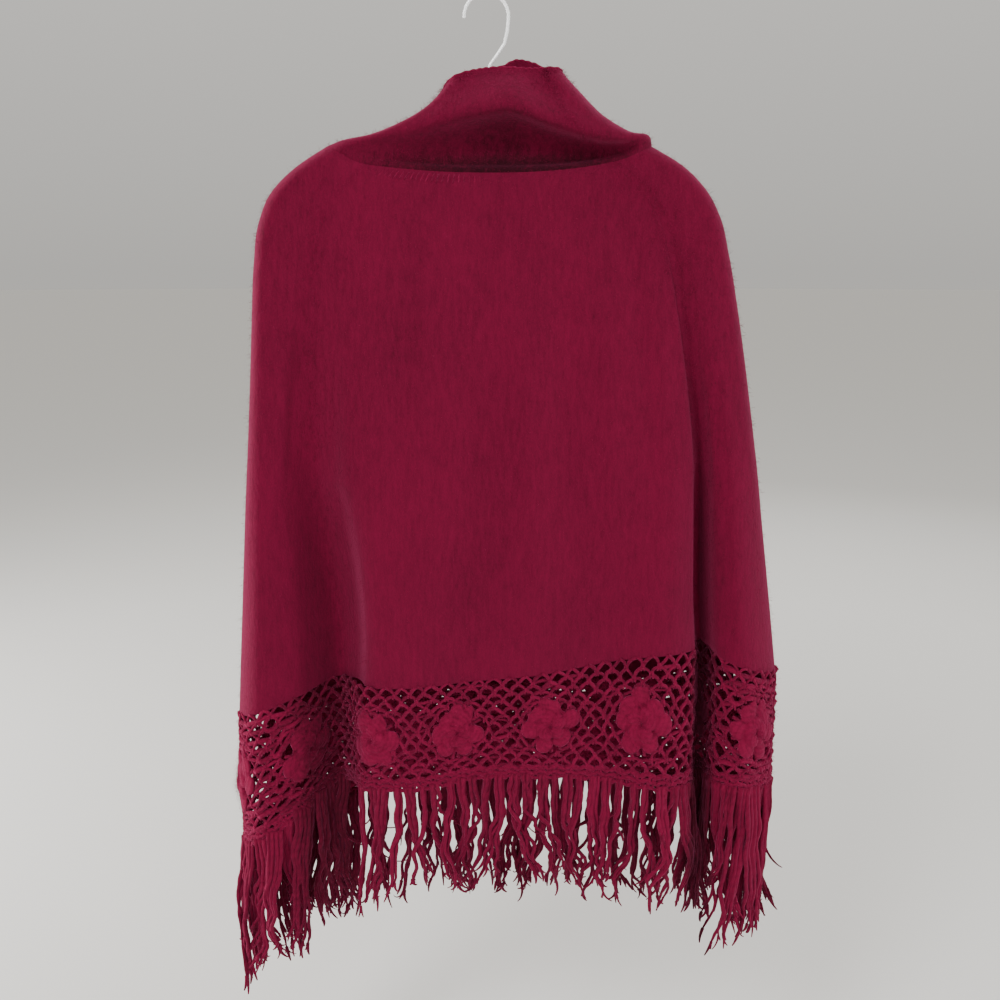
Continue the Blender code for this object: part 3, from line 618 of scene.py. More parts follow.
def floor_material():
    nodes = Nodes(bpy.data.materials, "studio_floor_paint")
    away = nodes.add("VectorMath", {0: nodes.add("TexCoord", output="Object")}, "Value", operation="LENGTH")
    # Painted shade: the floor's colour is darker near the poncho than farther out.
    (near, far), tones = FLOOR_PAINTED_SHADE
    level = nodes.math("DIVIDE", nodes.math("SUBTRACT", away, near), far - near)
    paint = nodes.ramp(level, (0.0, 1.0), FLOOR_COLOR, tones)
    nodes.put(nodes.shader, {"Base Color": paint, "Roughness": 0.95, "Specular IOR Level": 0.05})
    return nodes.owner


# ---- cloth


def crease_relief(arc, down):
    """How far the soft creases move the body's cloth off its rings."""
    across = across_of(arc)
    relief = np.zeros(np.broadcast(arc, down).shape)
    for side, creases in CREASES.items():
        on_side = is_front(arc) == (side == "front")
        for across_0, down_0, across_1, down_1, width, depth in creases:
            share = clamp((down - down_0) / (down_1 - down_0))
            middle = across_0 + (across_1 - across_0) * share
            fade = np.where(share >= 1.0, 0.0, np.sin(math.pi * share**0.8) ** 0.7)
            relief = relief + on_side * depth * fade * bell(across - middle, width)
    return relief


def ring_arcs(columns):
    front, back = columns
    arcs = [fold_columns(0.0, FRONT_ARC, front + 1)[:-1], fold_columns(FRONT_ARC, ROUND, back + 1)[:-1]]
    return joined(arcs)


def build_body(material):
    arc = ring_arcs(BODY_COLUMNS)[None, :]
    down = shares(BODY_ROWS)[:, None]
    down = down * (0.55 + 0.45 * down)
    middle = body_point(arc, down)
    middle = middle + grid_normal(middle) * crease_relief(arc, down)[..., None]
    made, normal = tube_shell("poncho_body", middle, material)
    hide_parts("body_front", "body_back")
    return made, middle, normal


def build_collar(material):
    arc = ring_arcs(COLLAR_COLUMNS)[None, :]
    rise = shares(COLLAR_ROWS)[::-1, None]
    seam = body_point(arc[0], 0.0)
    up = unit(seam - body_point(arc[0], 0.004))
    easing = clamp(1.0 - rise / SEAM_EASE) ** 2
    middle = collar_point(arc, rise)
    middle = middle + easing[..., None] * (seam + up * GAP * 1.5 - middle[-1])
    made, normal = tube_shell("cowl_collar", middle, material, edge=5)
    # Painted shade: the knit is darker in the hollow under the ridge and darkest near the foot by the seam,
    # and the collar's front is a little darker all over.
    ridge_rise, _, hollow, _ = table_at(RIDGE, across_of(arc))
    depth = clamp(hollow / 0.022) * is_front(arc)
    under = clamp((ridge_rise + 0.06 - rise) / 0.15)
    painted_shade = 0.3 * is_front(arc) + depth * under * (1.0 + 1.8 * bell(rise, 0.16, 4))
    others = len(made.data.vertices) - painted_shade.size  # the lining's and the edges' points
    set_attribute(made, "painted_shade", np.append(painted_shade, np.zeros(others)))
    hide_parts("collar")
    return made, middle, normal


# ---- crochet border

HALF_ROW = 0.00785  # height between two rows of the net's knots
FIRST_KNOTS = -0.0003  # drop of the top row of knots, which catches the hem
NET_ROWS_DOWN = 13
FLOWER_DROP = FLOWER_DOWN * CELL_HEIGHT
PUSHED_REACH = 0.039  # how far round a flower's middle the knots are pushed outwards
TIES, TIE_REACH = 18, (0.0185, 0.0268)  # short chains round a flower, from its edge to the net
ARCH = 0.0012  # how far the yarn between two knots arches upwards
STRAND_STEPS = 6
BAR_YARN, LONGEST_BAR = 0.0027, 0.021  # of the level yarns: least radius where every gap has one, length
CLOSE_NET = (-0.195, 0.232)  # across, beyond which every gap has its level yarn
EDGE_CHAINS = (
    # drop, yarn radius
    (0.0968, 0.0019),
    (0.1016, 0.0021),
    (0.1063, 0.0019),
)
POST_PITCH = 0.0034  # between the lower edge's upright stitches
TOP_JITTER = 0.0003  # of the top row's knots
FLOWER_ALONG = (NET_COLUMNS + 1) / 2 / NET_COLUMNS  # of a flower's middle, as a share of its repeat
FLOWER_SHIFTS = (0.0, -0.0085, 0.0085, 0.001, 0.001, 0.0, 0.0, -0.010)  # along the front's hem


class Lace:
    """One side of the border, laid flat: metres along it, and down from the hem.

    Knots within hole of a flower's middle are left out, and the rest begin at rim.  yarn is a
    radius, and sides the flat sides of its tube.  bars is the share of the net's gaps that a level
    yarn crosses, and jitter and sag spread knots and bars.
    """

    def __init__(self, side, start, width, repeats, columns, hole, rim, yarn, bars, sides, jitter, sag):
        self.side, self.front, self.start, self.repeats = side, side == "front", start, repeats
        self.hole, self.rim, self.yarn, self.bars, self.sides = hole, rim, yarn, bars, sides
        self.jitter, self.sag = jitter, sag
        self.length, self.pitch, self.columns = width * repeats, width / columns, repeats * columns
        self.middles = (np.arange(repeats) + FLOWER_ALONG) * width + (FLOWER_SHIFTS if self.front else 0.0)

    def place(self, along, drop, out):
        """From the flat lace to the poncho's border."""
        return lace_point(self.start + along, np.asarray(drop) / CELL_HEIGHT, out)

    def holds(self, a, b):
        """Whether the middle of two knots is on this stretch."""
        return 0.0 <= (a[0] + b[0]) / 2 <= self.length


LACE_SIDES = (
    Lace(
        side="front", start=LACE_START, width=FRONT_REPEAT, repeats=FRONT_REPEATS, columns=NET_COLUMNS,
        hole=0.0165, rim=0.0240, yarn=0.00165, bars=0.13, sides=6, jitter=0.0010, sag=0.0016,
    ),
    Lace(
        side="back", start=LACE_TURN, width=BACK_REPEAT, repeats=BACK_REPEATS, columns=8,
        hole=0.0, rim=0.0, yarn=0.0038, bars=1.0, sides=5, jitter=0.0004, sag=0.0005,
    ),
)


def net_knots(lace):
    """The net's knots laid flat, by row and column, apart from those that the flowers replace."""
    knots = {}
    for row in range(NET_ROWS_DOWN):
        for column in range(-1, lace.columns + 1):
            x = (column + (1.0 if row % 2 == 0 else 0.5)) * lace.pitch
            nearest = lace.middles[np.argmin(np.abs(lace.middles - x))]
            aside, below = x - nearest, FIRST_KNOTS + row * HALF_ROW - FLOWER_DROP
            distance = max(math.hypot(aside, below), 1e-9)
            share = clamp((distance - lace.hole) / (PUSHED_REACH - lace.hole))
            moved = lace.rim + share * (PUSHED_REACH - lace.rim) if distance < PUSHED_REACH else distance
            place = (nearest + aside * moved / distance, FLOWER_DROP + below * moved / distance)
            place = np.array(place) + scatter(lace.jitter if row else TOP_JITTER, 2)
            if distance > lace.hole:
                knots[row, column] = place
    return knots


def net_strands(lace, knots):
    """Pairs of knots that a length of yarn joins, with whether it leads left or right down."""
    for (row, column), place in knots.items():
        below = (column, column + 1) if row % 2 == 0 else (column - 1, column)
        for other, side in zip(below, (-1, 1)):
            end = knots.get((row + 1, other))
            if end is not None and lace.holds(place, end):
                yield place, end, side


def build_net(lace, material):
    """The net: arched yarn between knots, gathered round each flower, over a dense lower edge."""
    knots = net_knots(lace)
    steps = shares(STRAND_STEPS)
    arch, wave = np.sin(math.pi * steps)[:, None], 0.0005 * np.sin(2 * math.pi * steps)
    flat, out, thick = [], [], []
    for a, b, side in net_strands(lace, knots):
        over = np.array([side * (b[1] - a[1]), -abs(b[0] - a[0])])
        over *= (ARCH + scatter(0.0006)) / np.linalg.norm(over)
        flat.append(a + (b - a) * steps[:, None] + over * arch)
        out.append(0.0003 + scatter(0.0004) + wave)
        thick.append(lace.yarn)
    for (row, column), a in knots.items():
        b = knots.get((row, column + 1))
        if b is None:
            continue
        across = hem(lace.start + a[0], ACROSS)
        share = lace.bars if CLOSE_NET[0] <= across <= CLOSE_NET[1] else 1.0
        if uniform() > share or (lace.front and row == 0):
            continue
        if lace.holds(a, b) and abs(b[0] - a[0]) < LONGEST_BAR:
            sag = scatter(lace.sag) + 0.0035 * (row == 0)
            flat.append(a + (b - a) * steps[:, None] + np.array([0.0, sag]) * arch**0.5)
            out.append(-0.0006 + wave)
            thick.append(max(lace.yarn * 0.94, BAR_YARN) if share == 1.0 else lace.yarn)
    flat = np.array(flat)
    paths = lace.place(flat[..., 0], flat[..., 1], np.array(out))
    radii = uniform(0.80, 1.20, (len(paths), 1)) * (1.0 + 0.12 * np.cos(steps * 4 * math.pi))
    radii *= np.array(thick)[:, None]
    bundle = Bundle()
    # Painted light: the back's net is coloured lighter.
    shade = uniform(0.2, 0.9, len(paths)) + (0.0 if lace.front else BACK_NET_PAINTED_LIGHT)
    bundle.add_tubes(paths, radii, shade, sides=lace.sides)
    tied = np.array([place for (row, _), place in knots.items() if row and lace.holds(place, place)])
    add_knots(bundle, lace, tied)
    if lace.front:
        add_flower_ties(bundle, lace)
    edge = add_lower_edge(bundle, lace)
    made = bundle.build(f"lace_net_{lace.side}", material)
    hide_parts(f"lace_{lace.side}")
    return made, joined([paths.reshape(-1, 3), lace.place(tied[:, 0], tied[:, 1], 0.0), edge])


def add_knots(bundle, lace, knots):
    """Single crochet stitches: two short strokes of yarn side by side over each knot."""
    steps = np.array([-0.0031, -0.0012, 0.0012, 0.0031])
    for side in (-1, 1):
        lean = side * (0.0010 + 0.0006 * np.linspace(-1, 1, 4))
        x = knots[:, None, 0] + lean + scatter(0.0002, len(knots), 4)
        paths = lace.place(x, knots[:, None, 1] + steps, 0.0010)
        radii = lace.yarn * np.array([[0.45, 0.80, 0.80, 0.50]])
        bundle.add_tubes(paths, radii, uniform(0.4, 1.0, len(knots)))


def add_flower_ties(bundle, lace):
    """Chains that tie each flower's outer round into the net."""
    share = shares(4)
    inner, outer = TIE_REACH
    reach = inner + (outer - inner) * share
    for middle in lace.middles:
        turn = turns(TIES) + 0.2 + scatter(0.08, TIES)
        turn = turn[:, None] + scatter(0.05, TIES, 1) * share
        paths = lace.place(middle + reach * np.sin(turn), FLOWER_DROP - reach * np.cos(turn), 0.0)
        bundle.add_tubes(paths, lace.yarn * 1.1, uniform(0.1, 0.7, TIES))


def add_lower_edge(bundle, lace):
    """Close, uneven rounds of stitches along the border's lower edge, where the fringe is tied in."""
    along = np.linspace(0.0, lace.length, int(lace.length / 0.0019))
    centres = []
    for drop, radius in EDGE_CHAINS:
        slow, quick = uniform(0, 2 * math.pi, 2)
        sag = 0.0011 * np.sin(along * 2 * math.pi / lace.pitch + slow + np.sin(along * 40.0 + quick))
        wobble = np.sin(along * 2 * math.pi / 0.0058 + 1.5 * np.sin(along * 90.0 + slow))
        path = lace.place(along, drop + sag + 0.0005 * wobble, 0.0004 + 0.0005 * np.abs(wobble))
        thick = radius * (0.95 + 0.22 * np.abs(wobble)) + scatter(0.0001, len(along))
        bundle.add_tubes(path[None], thick[None], up=UP)
        centres.append(path)
    share = shares(4)
    count = int(lace.length / POST_PITCH)
    top, low = EDGE_CHAINS[0][0] - 0.001, EDGE_CHAINS[-1][0] + 0.001
    x = np.linspace(0.0, lace.length, count)[:, None] + scatter(0.0024, count, 1) * (share * 2 - 1)
    x = np.clip(x + scatter(0.0005, count, 4), 0.0, lace.length)
    paths = lace.place(x, top + (low - top) * share, 0.0008)
    radii = 0.0015 * uniform(0.7, 1.1, (count, 1))
    bundle.add_tubes(paths, radii, uniform(0.1, 0.9, count), sides=5)
    last = FIRST_KNOTS + (NET_ROWS_DOWN - 1) * HALF_ROW
    for side in (-1, 1):
        x = (np.arange(lace.columns) + 1.0)[:, None] * lace.pitch + side * share * lace.pitch / 2
        paths = lace.place(np.clip(x, 0.0, lace.length), last + (EDGE_CHAINS[0][0] - last) * share, 0.0004)
        bundle.add_tubes(paths, lace.yarn, uniform(0.1, 0.9, lace.columns))
    return joined(centres)


# The petals of a flower, laid flat.  turn is in degrees from straight up, the rest metres.
PETALS = (
    # turn, reach, half_length, half_width, lift, puff
    (-8, 0.0225, 0.0082, 0.0042, 0.0004, 0.0012),
    (14, 0.0215, 0.0078, 0.0036, 0.0006, 0.0010),
    (30, 0.0150, 0.0090, 0.0078, 0.0006, 0.0016),
    (88, 0.0155, 0.0092, 0.0084, 0.0010, 0.0017),
    (145, 0.0150, 0.0088, 0.0082, 0.0006, 0.0017),
    (205, 0.0152, 0.0090, 0.0084, 0.0011, 0.0016),
    (262, 0.0155, 0.0094, 0.0082, 0.0007, 0.0017),
    (325, 0.0150, 0.0088, 0.0080, 0.0009, 0.0016),
    (0, 0.0068, 0.0064, 0.0066, 0.0024, 0.0017),
    (74, 0.0066, 0.0062, 0.0066, 0.0029, 0.0015),
    (140, 0.0070, 0.0066, 0.0068, 0.0025, 0.0017),
    (215, 0.0066, 0.0062, 0.0064, 0.0030, 0.0015),
    (290, 0.0069, 0.0064, 0.0068, 0.0026, 0.0016),
)
PETAL_JITTER = (9.0, 0.0010, 0.0008, 0.0007, 0.0003, 0.0002)  # the spread of each of their sizes
PRESSED = 0.35  # how flat the crevice's flower is
FLOWER_SCALE = 1.14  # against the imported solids' flowers
FLOWER_BASE = 0.0192  # radius of the round that carries the petals
FLOWER_RINGS, FLOWER_SPOKES = 21, 76
CREASE = 0.00028  # how softly neighbouring petals meet
UNDERSIDE = -0.0005  # how far a flower reaches into the net


def petal_heights(petals, radius, angle):
    """Heights of all the petals at places of the flower, lowest outside each petal's own outline."""
    turn, reach, half_length, half_width, lift, puff = petals.T[:, :, None, None]
    aside = angle - np.radians(turn)
    u = (radius * np.cos(aside) - reach) / half_length
    v = radius * np.sin(aside) / (half_width * (1.0 + 0.18 * u))
    square = u**2 + v**2
    return np.where(square < 1.0, lift + puff * (1.0 - square**1.5), -0.002 * square), square


def add_flower(bundle, lace, middle, flatten):
    """A rosette of soft petals in one surface; it returns the places of its upper side."""
    petals = np.array(PETALS) + scatter(1.0, *np.shape(PETALS)) * PETAL_JITTER
    petals[:, 0] += uniform(-14.0, 14.0)
    petals[:, 1:4] *= FLOWER_SCALE
    angle = turns(FLOWER_SPOKES)
    probe = np.linspace(0.010, 0.032, 89)[:, None]
    inside = petal_heights(petals, probe, angle)[1].min(0) < 1.0
    edge = np.maximum(np.where(inside, probe, 0.0).max(0), FLOWER_BASE)
    edge = (np.roll(edge, 1) + 2 * edge + np.roll(edge, -1)) / 4
    radius = (np.arange(1, FLOWER_RINGS + 1) / FLOWER_RINGS)[:, None] * edge
    heights = np.sort(petal_heights(petals, radius, angle)[0], axis=0)
    height = CREASE * np.log(np.exp(np.clip(heights / CREASE, -40, 60)).sum(0) + 1.0)
    height -= 0.0012 * bell(radius, 0.0018)  # the hole at its middle
    height += 0.00016 * np.cos(radius * 2 * math.pi / 0.0026)  # its rounds of stitches
    # Painted shade and light: petals are darker where they meet a neighbour in a crease, and lighter where
    # they stand high.
    clear = clamp((heights[-1] - np.maximum(heights[-2], 0.0)) / 0.0011)
    shade = 0.38 + 0.28 * clear + 0.22 * clamp(height / 0.0045)
    height[-1] = 0.0001
    hub = height[0].mean()
    base = CLOTH / 2 + (0.0 if lace.front else BACK_FLOWERS_OUT)
    x, y = middle + radius * np.sin(angle), FLOWER_DROP - radius * np.cos(angle)
    top = lace.place(x, y, base + height * flatten).reshape(-1, 3)
    x, y = middle + 0.6 * edge * np.sin(angle), FLOWER_DROP - 0.6 * edge * np.cos(angle)
    low = lace.place(x, y, base + UNDERSIDE)
    hubs = lace.place(middle, FLOWER_DROP, base + np.array([hub * flatten, UNDERSIDE]))
    points = joined([top, low, hubs])
    index = np.arange(len(points) - 2).reshape(-1, FLOWER_SPOKES)
    turned = np.roll(index, -1, 1)
    hub_top, hub_low = np.full_like(index[0], index.size), np.full_like(index[0], index.size + 1)
    fans = [stacked(index[0], turned[0], hub_top), stacked(turned[-1], index[-1], hub_low)]
    yarn = np.zeros((len(points), 3))
    yarn[:, 0] = 1000.0 * joined([radius.ravel(), edge, [0.0, 0.0]])
    yarn[: len(top), 1:] = np.tile(stacked(np.cos(angle * 5), np.sin(angle * 5)), (FLOWER_RINGS, 1))
    # Painted light: the back's flowers are coloured lighter.
    shades = np.append(shade, np.full(len(low) + 2, 0.4)) + (0.0 if lace.front else BACK_FLOWERS_PAINTED_LIGHT)
    bundle.add(points, [ring_quads(index), *fans], shades, yarn)
    return top


def build_flowers(lace, material):
    bundle, found = Bundle(), []
    for number, middle in enumerate(lace.middles):
        flatten = PRESSED if lace.front and number == CREVICE_FLOWER else 1.0
        found.append(add_flower(bundle, lace, middle, flatten))
    made = bundle.build(f"lace_flowers_{lace.side}", material)
    return made, joined(found)


# ---- fringe

LOCKS_A_REPEAT = 7
STRANDS_A_LOCK = (2, 3, 3, 4, 4, 4)  # how many, one picked for each lock
BEHIND_STRIP = -0.146  # across, of one lock that hangs behind the left valley
GATHERED = (-0.150, 0.190)  # across, beyond which the folds bring the locks close, and they are thick
FRINGE_STEPS = 24
STRAND_RADIUS, STRAND_SPACING = 0.00255, 0.0023
FRINGE_TONES_AND_BACK_SHADE = {"front": (0.35, 1.0), "back": (0.0, 0.35)}  # of its darkest and lightest yarns; the back's range is lower, painted shade for locks that hang behind the front

WISPS = (
    # begins, thickness, longest, bends, share of the strands
    (1.0, 0.00180, 0.022, 0.9, 1.0),
    (1.0, 0.00120, 0.016, 1.5, 0.3),
    (0.8, 0.00100, 0.022, 1.3, 0.2),
)


def wander(count, waves, amplitude):
    """Smooth random wandering that starts at nothing: a sum of a few sines."""
    share = shares(FRINGE_STEPS)
    total = np.zeros((count, FRINGE_STEPS))
    for wave in waves:
        phase = uniform(0, 2 * math.pi, (count, 1))
        rate = wave * uniform(0.8, 1.25, (count, 1))
        total += np.sin(2 * math.pi * rate * share + phase) / wave**0.7
    return amplitude * (total - total[:, :1])


def lock_arcs(lace):
    """Where the locks are tied in.  Those of the left valley have swung aside."""
    locks = lace.repeats * LOCKS_A_REPEAT
    pitch = lace.length / locks
    arcs = lace.start + (np.arange(locks) + 0.5) * pitch + scatter(0.15 * pitch, locks)
    x = hem(arcs, ACROSS)
    arcs = arcs[~((x > BARE_STRIP[0]) & (x < BARE_STRIP[1]))]
    if not lace.front:
        ring = np.linspace(lace.start, lace.start + lace.length, 400)
        arcs = np.append(arcs, ring[np.argmin(np.abs(hem(ring, ACROSS) - BEHIND_STRIP))])
    return arcs


def fringe_paths(lace, arcs, beyond):
    """The yarns' lines, with their lock's number, their directions out of the hem and along it."""
    locks = len(arcs)
    strands = RANDOM.choice(STRANDS_A_LOCK, locks) + (not lace.front) + 3 * beyond
    owner = np.repeat(np.arange(locks), strands)
    count = len(owner)
    share = shares(FRINGE_STEPS)

    def lock_number(low, high):
        """A random number for each lock, given to all its yarns."""
        return uniform(low, high, (locks, 1))[owner]

    # One yarn in eight is cut short.
    lengths = (hem(arcs, FRINGE) * uniform(0.84, 1.0, locks))[owner] * uniform(0.80, 1.0, count)
    lengths *= np.where(uniform(0, 1, count) < 0.12, uniform(0.45, 0.8, count), 1.0)
    slot = joined([np.arange(n) - (n - 1) / 2 for n in strands])[:, None] + scatter(0.12, count, 1)
    # Lower down a lock parts in two and turns about its own line.
    parts_at = lock_number(0.30, 0.75)
    parted = clamp((share - parts_at) / (1.0 - parts_at))
    aside = np.sign(slot - scatter(0.8, locks, 1)[owner]) * lock_number(0.1, 1.0)
    turn = clamp((share - 0.25) / 0.75) * lock_number(-2.2, 2.2)
    deep = np.where(np.arange(count) % 2, 0.0008, -0.0008)[:, None]
    along = STRAND_SPACING * slot * np.cos(turn) + deep * np.sin(turn)
    along = along + 0.0046 * aside * parted**1.2 + scatter(0.0016, count, 1) * parted**2
    off = STRAND_SPACING * slot * np.sin(turn) * 0.6 + deep * np.cos(turn)
    off = off + scatter(0.0025, locks, 1)[owner] * aside * parted
    # Locks sway and their yarns wander.  Where the folds gather them they hang in two layers.
    settle = np.minimum(share * 4, 1.0)
    sway = wander(locks, (0.5, 1.2, 2.6, 4.0), 0.0048) * share
    swing = wander(locks, (0.5, 1.3), 0.0028) * share
    along = along + sway[owner] + wander(count, (2.5, 5.0), 0.0011) * settle
    off = off + swing[owner] + wander(count, (3.0, 6.0), 0.0005) * settle + 0.0008 * (1 - share)
    off = off + (0.0035 * beyond * np.where(np.arange(locks) % 2, 1.0, -1.0))[owner][:, None] * settle
    out = outward(arcs)[owner][:, None, :]
    level = stacked(-out[..., 1], out[..., 0], 0 * out[..., 0])
    roots = lace_point(arcs, 1.0)[owner][:, None, :] + 0.0055 * UP
    drop = (lengths[:, None] * share)[..., None] * UP
    return roots + level * along[..., None] + out * off[..., None] - drop, owner, out, level


def build_fringe(lace, material):
    """Locks of matted yarn: ribbons at first, which part lower down and end in curved wisps."""
    arcs = lock_arcs(lace)
    beyond = (hem(arcs, ACROSS) < GATHERED[0]) | (hem(arcs, ACROSS) > GATHERED[1])
    paths, owner, out, level = fringe_paths(lace, arcs, beyond)
    count = len(paths)
    share = shares(FRINGE_STEPS)
    lumps = share * uniform(3, 6, (count, 1)) + uniform(0, 1, (count, 1))
    radii = STRAND_RADIUS * (1.0 + 0.14 * np.sin(2 * math.pi * lumps)) * (1.0 - 0.34 * share**1.5)
    radii = radii * uniform(0.78, 1.18, (count, 1)) * np.where(share > 0.93, 0.62, 1.0)
    # Painted shade: the back's locks are coloured darker than the front's.
    low, high = FRINGE_TONES_AND_BACK_SHADE[lace.side]
    tone = low + (high - low) * (uniform(0, 0.7, len(arcs))[owner] + uniform(0, 0.3, count))
    bundle = Bundle()
    bundle.add_tubes(paths, radii, tone, out, sides=5)
    for begins, thick, longest, bends, kept in WISPS:
        some = uniform(0, 1, count) < kept
        add_wisps(bundle, paths[some], level[some], out[some], tone[some], begins, thick, longest, bends)
    add_strays(bundle, paths, out)
    made = bundle.build(f"fringe_yarns_{lace.side}", material)
    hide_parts(f"fringe_{lace.side}")
    return made, paths.reshape(-1, 3)


def add_wisps(bundle, paths, level, out, tone, begins, thick, longest, bends):
    """Tapering ends that leave a yarn near the share begins of its length, each on its own curve."""
    count, steps = len(paths), 8
    share = shares(steps)
    last = FRINGE_STEPS - 2
    at = np.full(count, last) if begins == 1.0 else RANDOM.integers(int(begins * last * 0.6), last, count)
    begin = paths[np.arange(count), at]
    heading = unit(begin - paths[np.arange(count), at - 2])
    lean = scatter(0.14, count, 1) + scatter(bends, count, 1) * share**1.4
    tilt = scatter(0.35, count, 1) * share
    step = longest * uniform(0.35, 1.0, (count, 1)) / (steps - 1)
    lean, tilt = lean[..., None], tilt[..., None]
    ahead = unit(heading[:, None] * np.cos(lean) + level * np.sin(lean) + out * tilt - 0.25 * UP)
    path = begin[:, None] + np.cumsum(ahead * step[..., None], axis=1) - ahead[:, :1] * step[..., None]
    radii = thick * (1.0 - 0.65 * share**2) * uniform(0.7, 1.15, (count, 1))
    bundle.add_tubes(path, radii, tone, out, sides=4)


def add_strays(bundle, paths, out):
    """A few yarns that have come out of their locks and cross to a neighbour."""
    steps = shares(12)
    for pick in RANDOM.choice(len(paths) - 12, max(2, len(paths) // 22), replace=False):
        high = RANDOM.integers(7, 20)
        a, b = paths[pick, high], paths[pick + RANDOM.integers(3, 8), high + RANDOM.integers(-2, 3)]
        if np.linalg.norm(b - a) < 0.035:
            hang = out[pick] * 0.002 - UP * uniform(-0.002, 0.009)
            path = a + (b - a) * steps[:, None] + hang * np.sin(math.pi * steps)[:, None]
            bundle.add_tubes(path[None], 0.0007, 0.3, UP + 0.01 * out[pick], sides=4)


# ---- loose fibres

HAIR = 0.00009  # half the width of a fibre
BODY_HAIRS, COLLAR_HAIRS = 25000, 7000
FRINGE_HAIRS = (10000, 0.0050, HAIR)  # count, longest, half width
LACE_HAIRS = {"front": (20000, 0.008, HAIR), "back": (30000, 0.011, 0.00020)}


def add_fibres(bundle, roots, aims, lengths, half_width):
    """Hairs of three faces, each with one bend."""
    count = len(roots)
    bend = unit(aims + scatter(0.45, count, 3) - 0.25 * UP)
    side = unit(np.cross(aims, scatter(1.0, count, 3))) * half_width
    elbow = roots + aims * lengths * 0.5
    tip = elbow + bend * lengths * 0.5
    points = np.stack([roots - side, roots + side, elbow + side * 0.8, elbow - side * 0.8, tip], axis=1)
    index = np.arange(count)[:, None] * 5
    shade = np.repeat(uniform(0.1, 1.0, count), 5)
    bundle.add(points.reshape(-1, 3), [index + [0, 1, 2, 3], index + [3, 2, 4]], shade)


def build_nap(name, middle, normal, count, material):
    """Fibres that stand off the brushed cloth, both on its face and inside it."""
    rows, columns = middle.shape[:2]
    row = uniform(0, rows - 1.01, count)
    column = uniform(0, columns, count)
    i, j = row.astype(int), column.astype(int) % columns
    k = (j + 1) % columns
    a, b = (row - i)[:, None], (column - np.floor(column))[:, None]
    root = (middle[i, j] * (1 - a) + middle[i + 1, j] * a) * (1 - b)
    root += (middle[i, k] * (1 - a) + middle[i + 1, k] * a) * b
    aim = normal[i, j] * uniform(0.35, 0.9, (count, 1)) + scatter(0.35, count, 3)
    lengths = uniform(0.0025, 0.0075, (count, 1))
    bundle = Bundle()
    add_fibres(bundle, root + normal[i, j] * CLOTH * 0.45, unit(aim - 0.35 * UP), lengths, HAIR)
    made = bundle.build(name, material)
    return made


def build_haze(name, centres, hairs, material):
    """Fibres all round yarns, from random points of them."""
    count, longest, half_width = hairs
    roots = centres[RANDOM.integers(0, len(centres), count)] + scatter(0.0008, count, 3)
    aims = unit(scatter(1.0, count, 3) * (1.0, 0.55, 1.0))
    bundle = Bundle()
    add_fibres(bundle, roots, aims, uniform(0.35, 1.0, (count, 1)) * longest, half_width)
    made = bundle.build(name, material)
    return made


# ---- neck

STITCH_PITCH = 0.0043
NECK_ROUND = 0.62  # metres round the neck seam


def build_neck_stitches(material):
    """The row of slanted stitches that sews the collar on, just under the seam."""
    count = int(NECK_ROUND / STITCH_PITCH)
    seam = joined([np.linspace(0.0, FRONT_ARC, 600)[:-1], np.linspace(FRONT_ARC, ROUND, 600)[:-1]])
    passed = walked(body_point(seam, 0.0))
    arcs = np.interp(np.linspace(0.0, passed[-1], count, endpoint=False), passed, seam)
    share = shares(5)
    downs = 0.004 + (0.0165 + scatter(0.001, count, 1)) * share
    along = arcs[:, None] + np.interp(passed[-1] / count * 0.45, passed, seam) * (share - 0.5)
    middle = body_point(along, downs)
    fall = body_point(along, downs + 0.004) - body_point(along, downs - 0.004)
    normal = unit(np.cross(fall, body_point(along + 0.002, downs) - body_point(along - 0.002, downs)))
    # Bold in the middle of the front, nearly sunk in the cloth elsewhere
    bold = bell(middle[:, 2, 0] + 0.050, 0.045, 4) * is_front(arcs)
    lift = (CLOTH / 2 + 0.0005 * np.sin(math.pi * share) - 0.0003) - 0.0011 * (1 - bold)[:, None]
    bundle = Bundle()
    radii = 0.0008 * np.array([[0.6, 1.0, 1.1, 1.0, 0.6]]) * uniform(0.8, 1.1, (count, 1))
    places = middle + normal * lift[..., None]
    bundle.add_tubes(places, radii, uniform(0.2, 0.9, count), normal[:, 2:3])
    made = bundle.build("neck_stitches", material)
    return made


def build_collar_rim(material):
    """The chain of stitches that finishes the collar's upper edge."""
    rim = collar_point(ring_arcs((420, 260)), 1.0)
    passed = walked(rim)
    even = np.linspace(0.0, passed[-1], 300)
    path = np.stack([np.interp(even, passed, rim[:, i]) for i in range(3)], axis=-1)
    wave = np.sin(2 * math.pi * even / 0.0074 + 2.0 * np.sin(even * 130.0))
    path[:, 2] += 0.0005 + 0.0002 * wave
    bundle = Bundle()
    bundle.add_tubes(path[None], 0.0018 * (0.94 + 0.06 * wave), up=UP)
    made = bundle.build("collar_rim", material)
    return made


# ---- studio

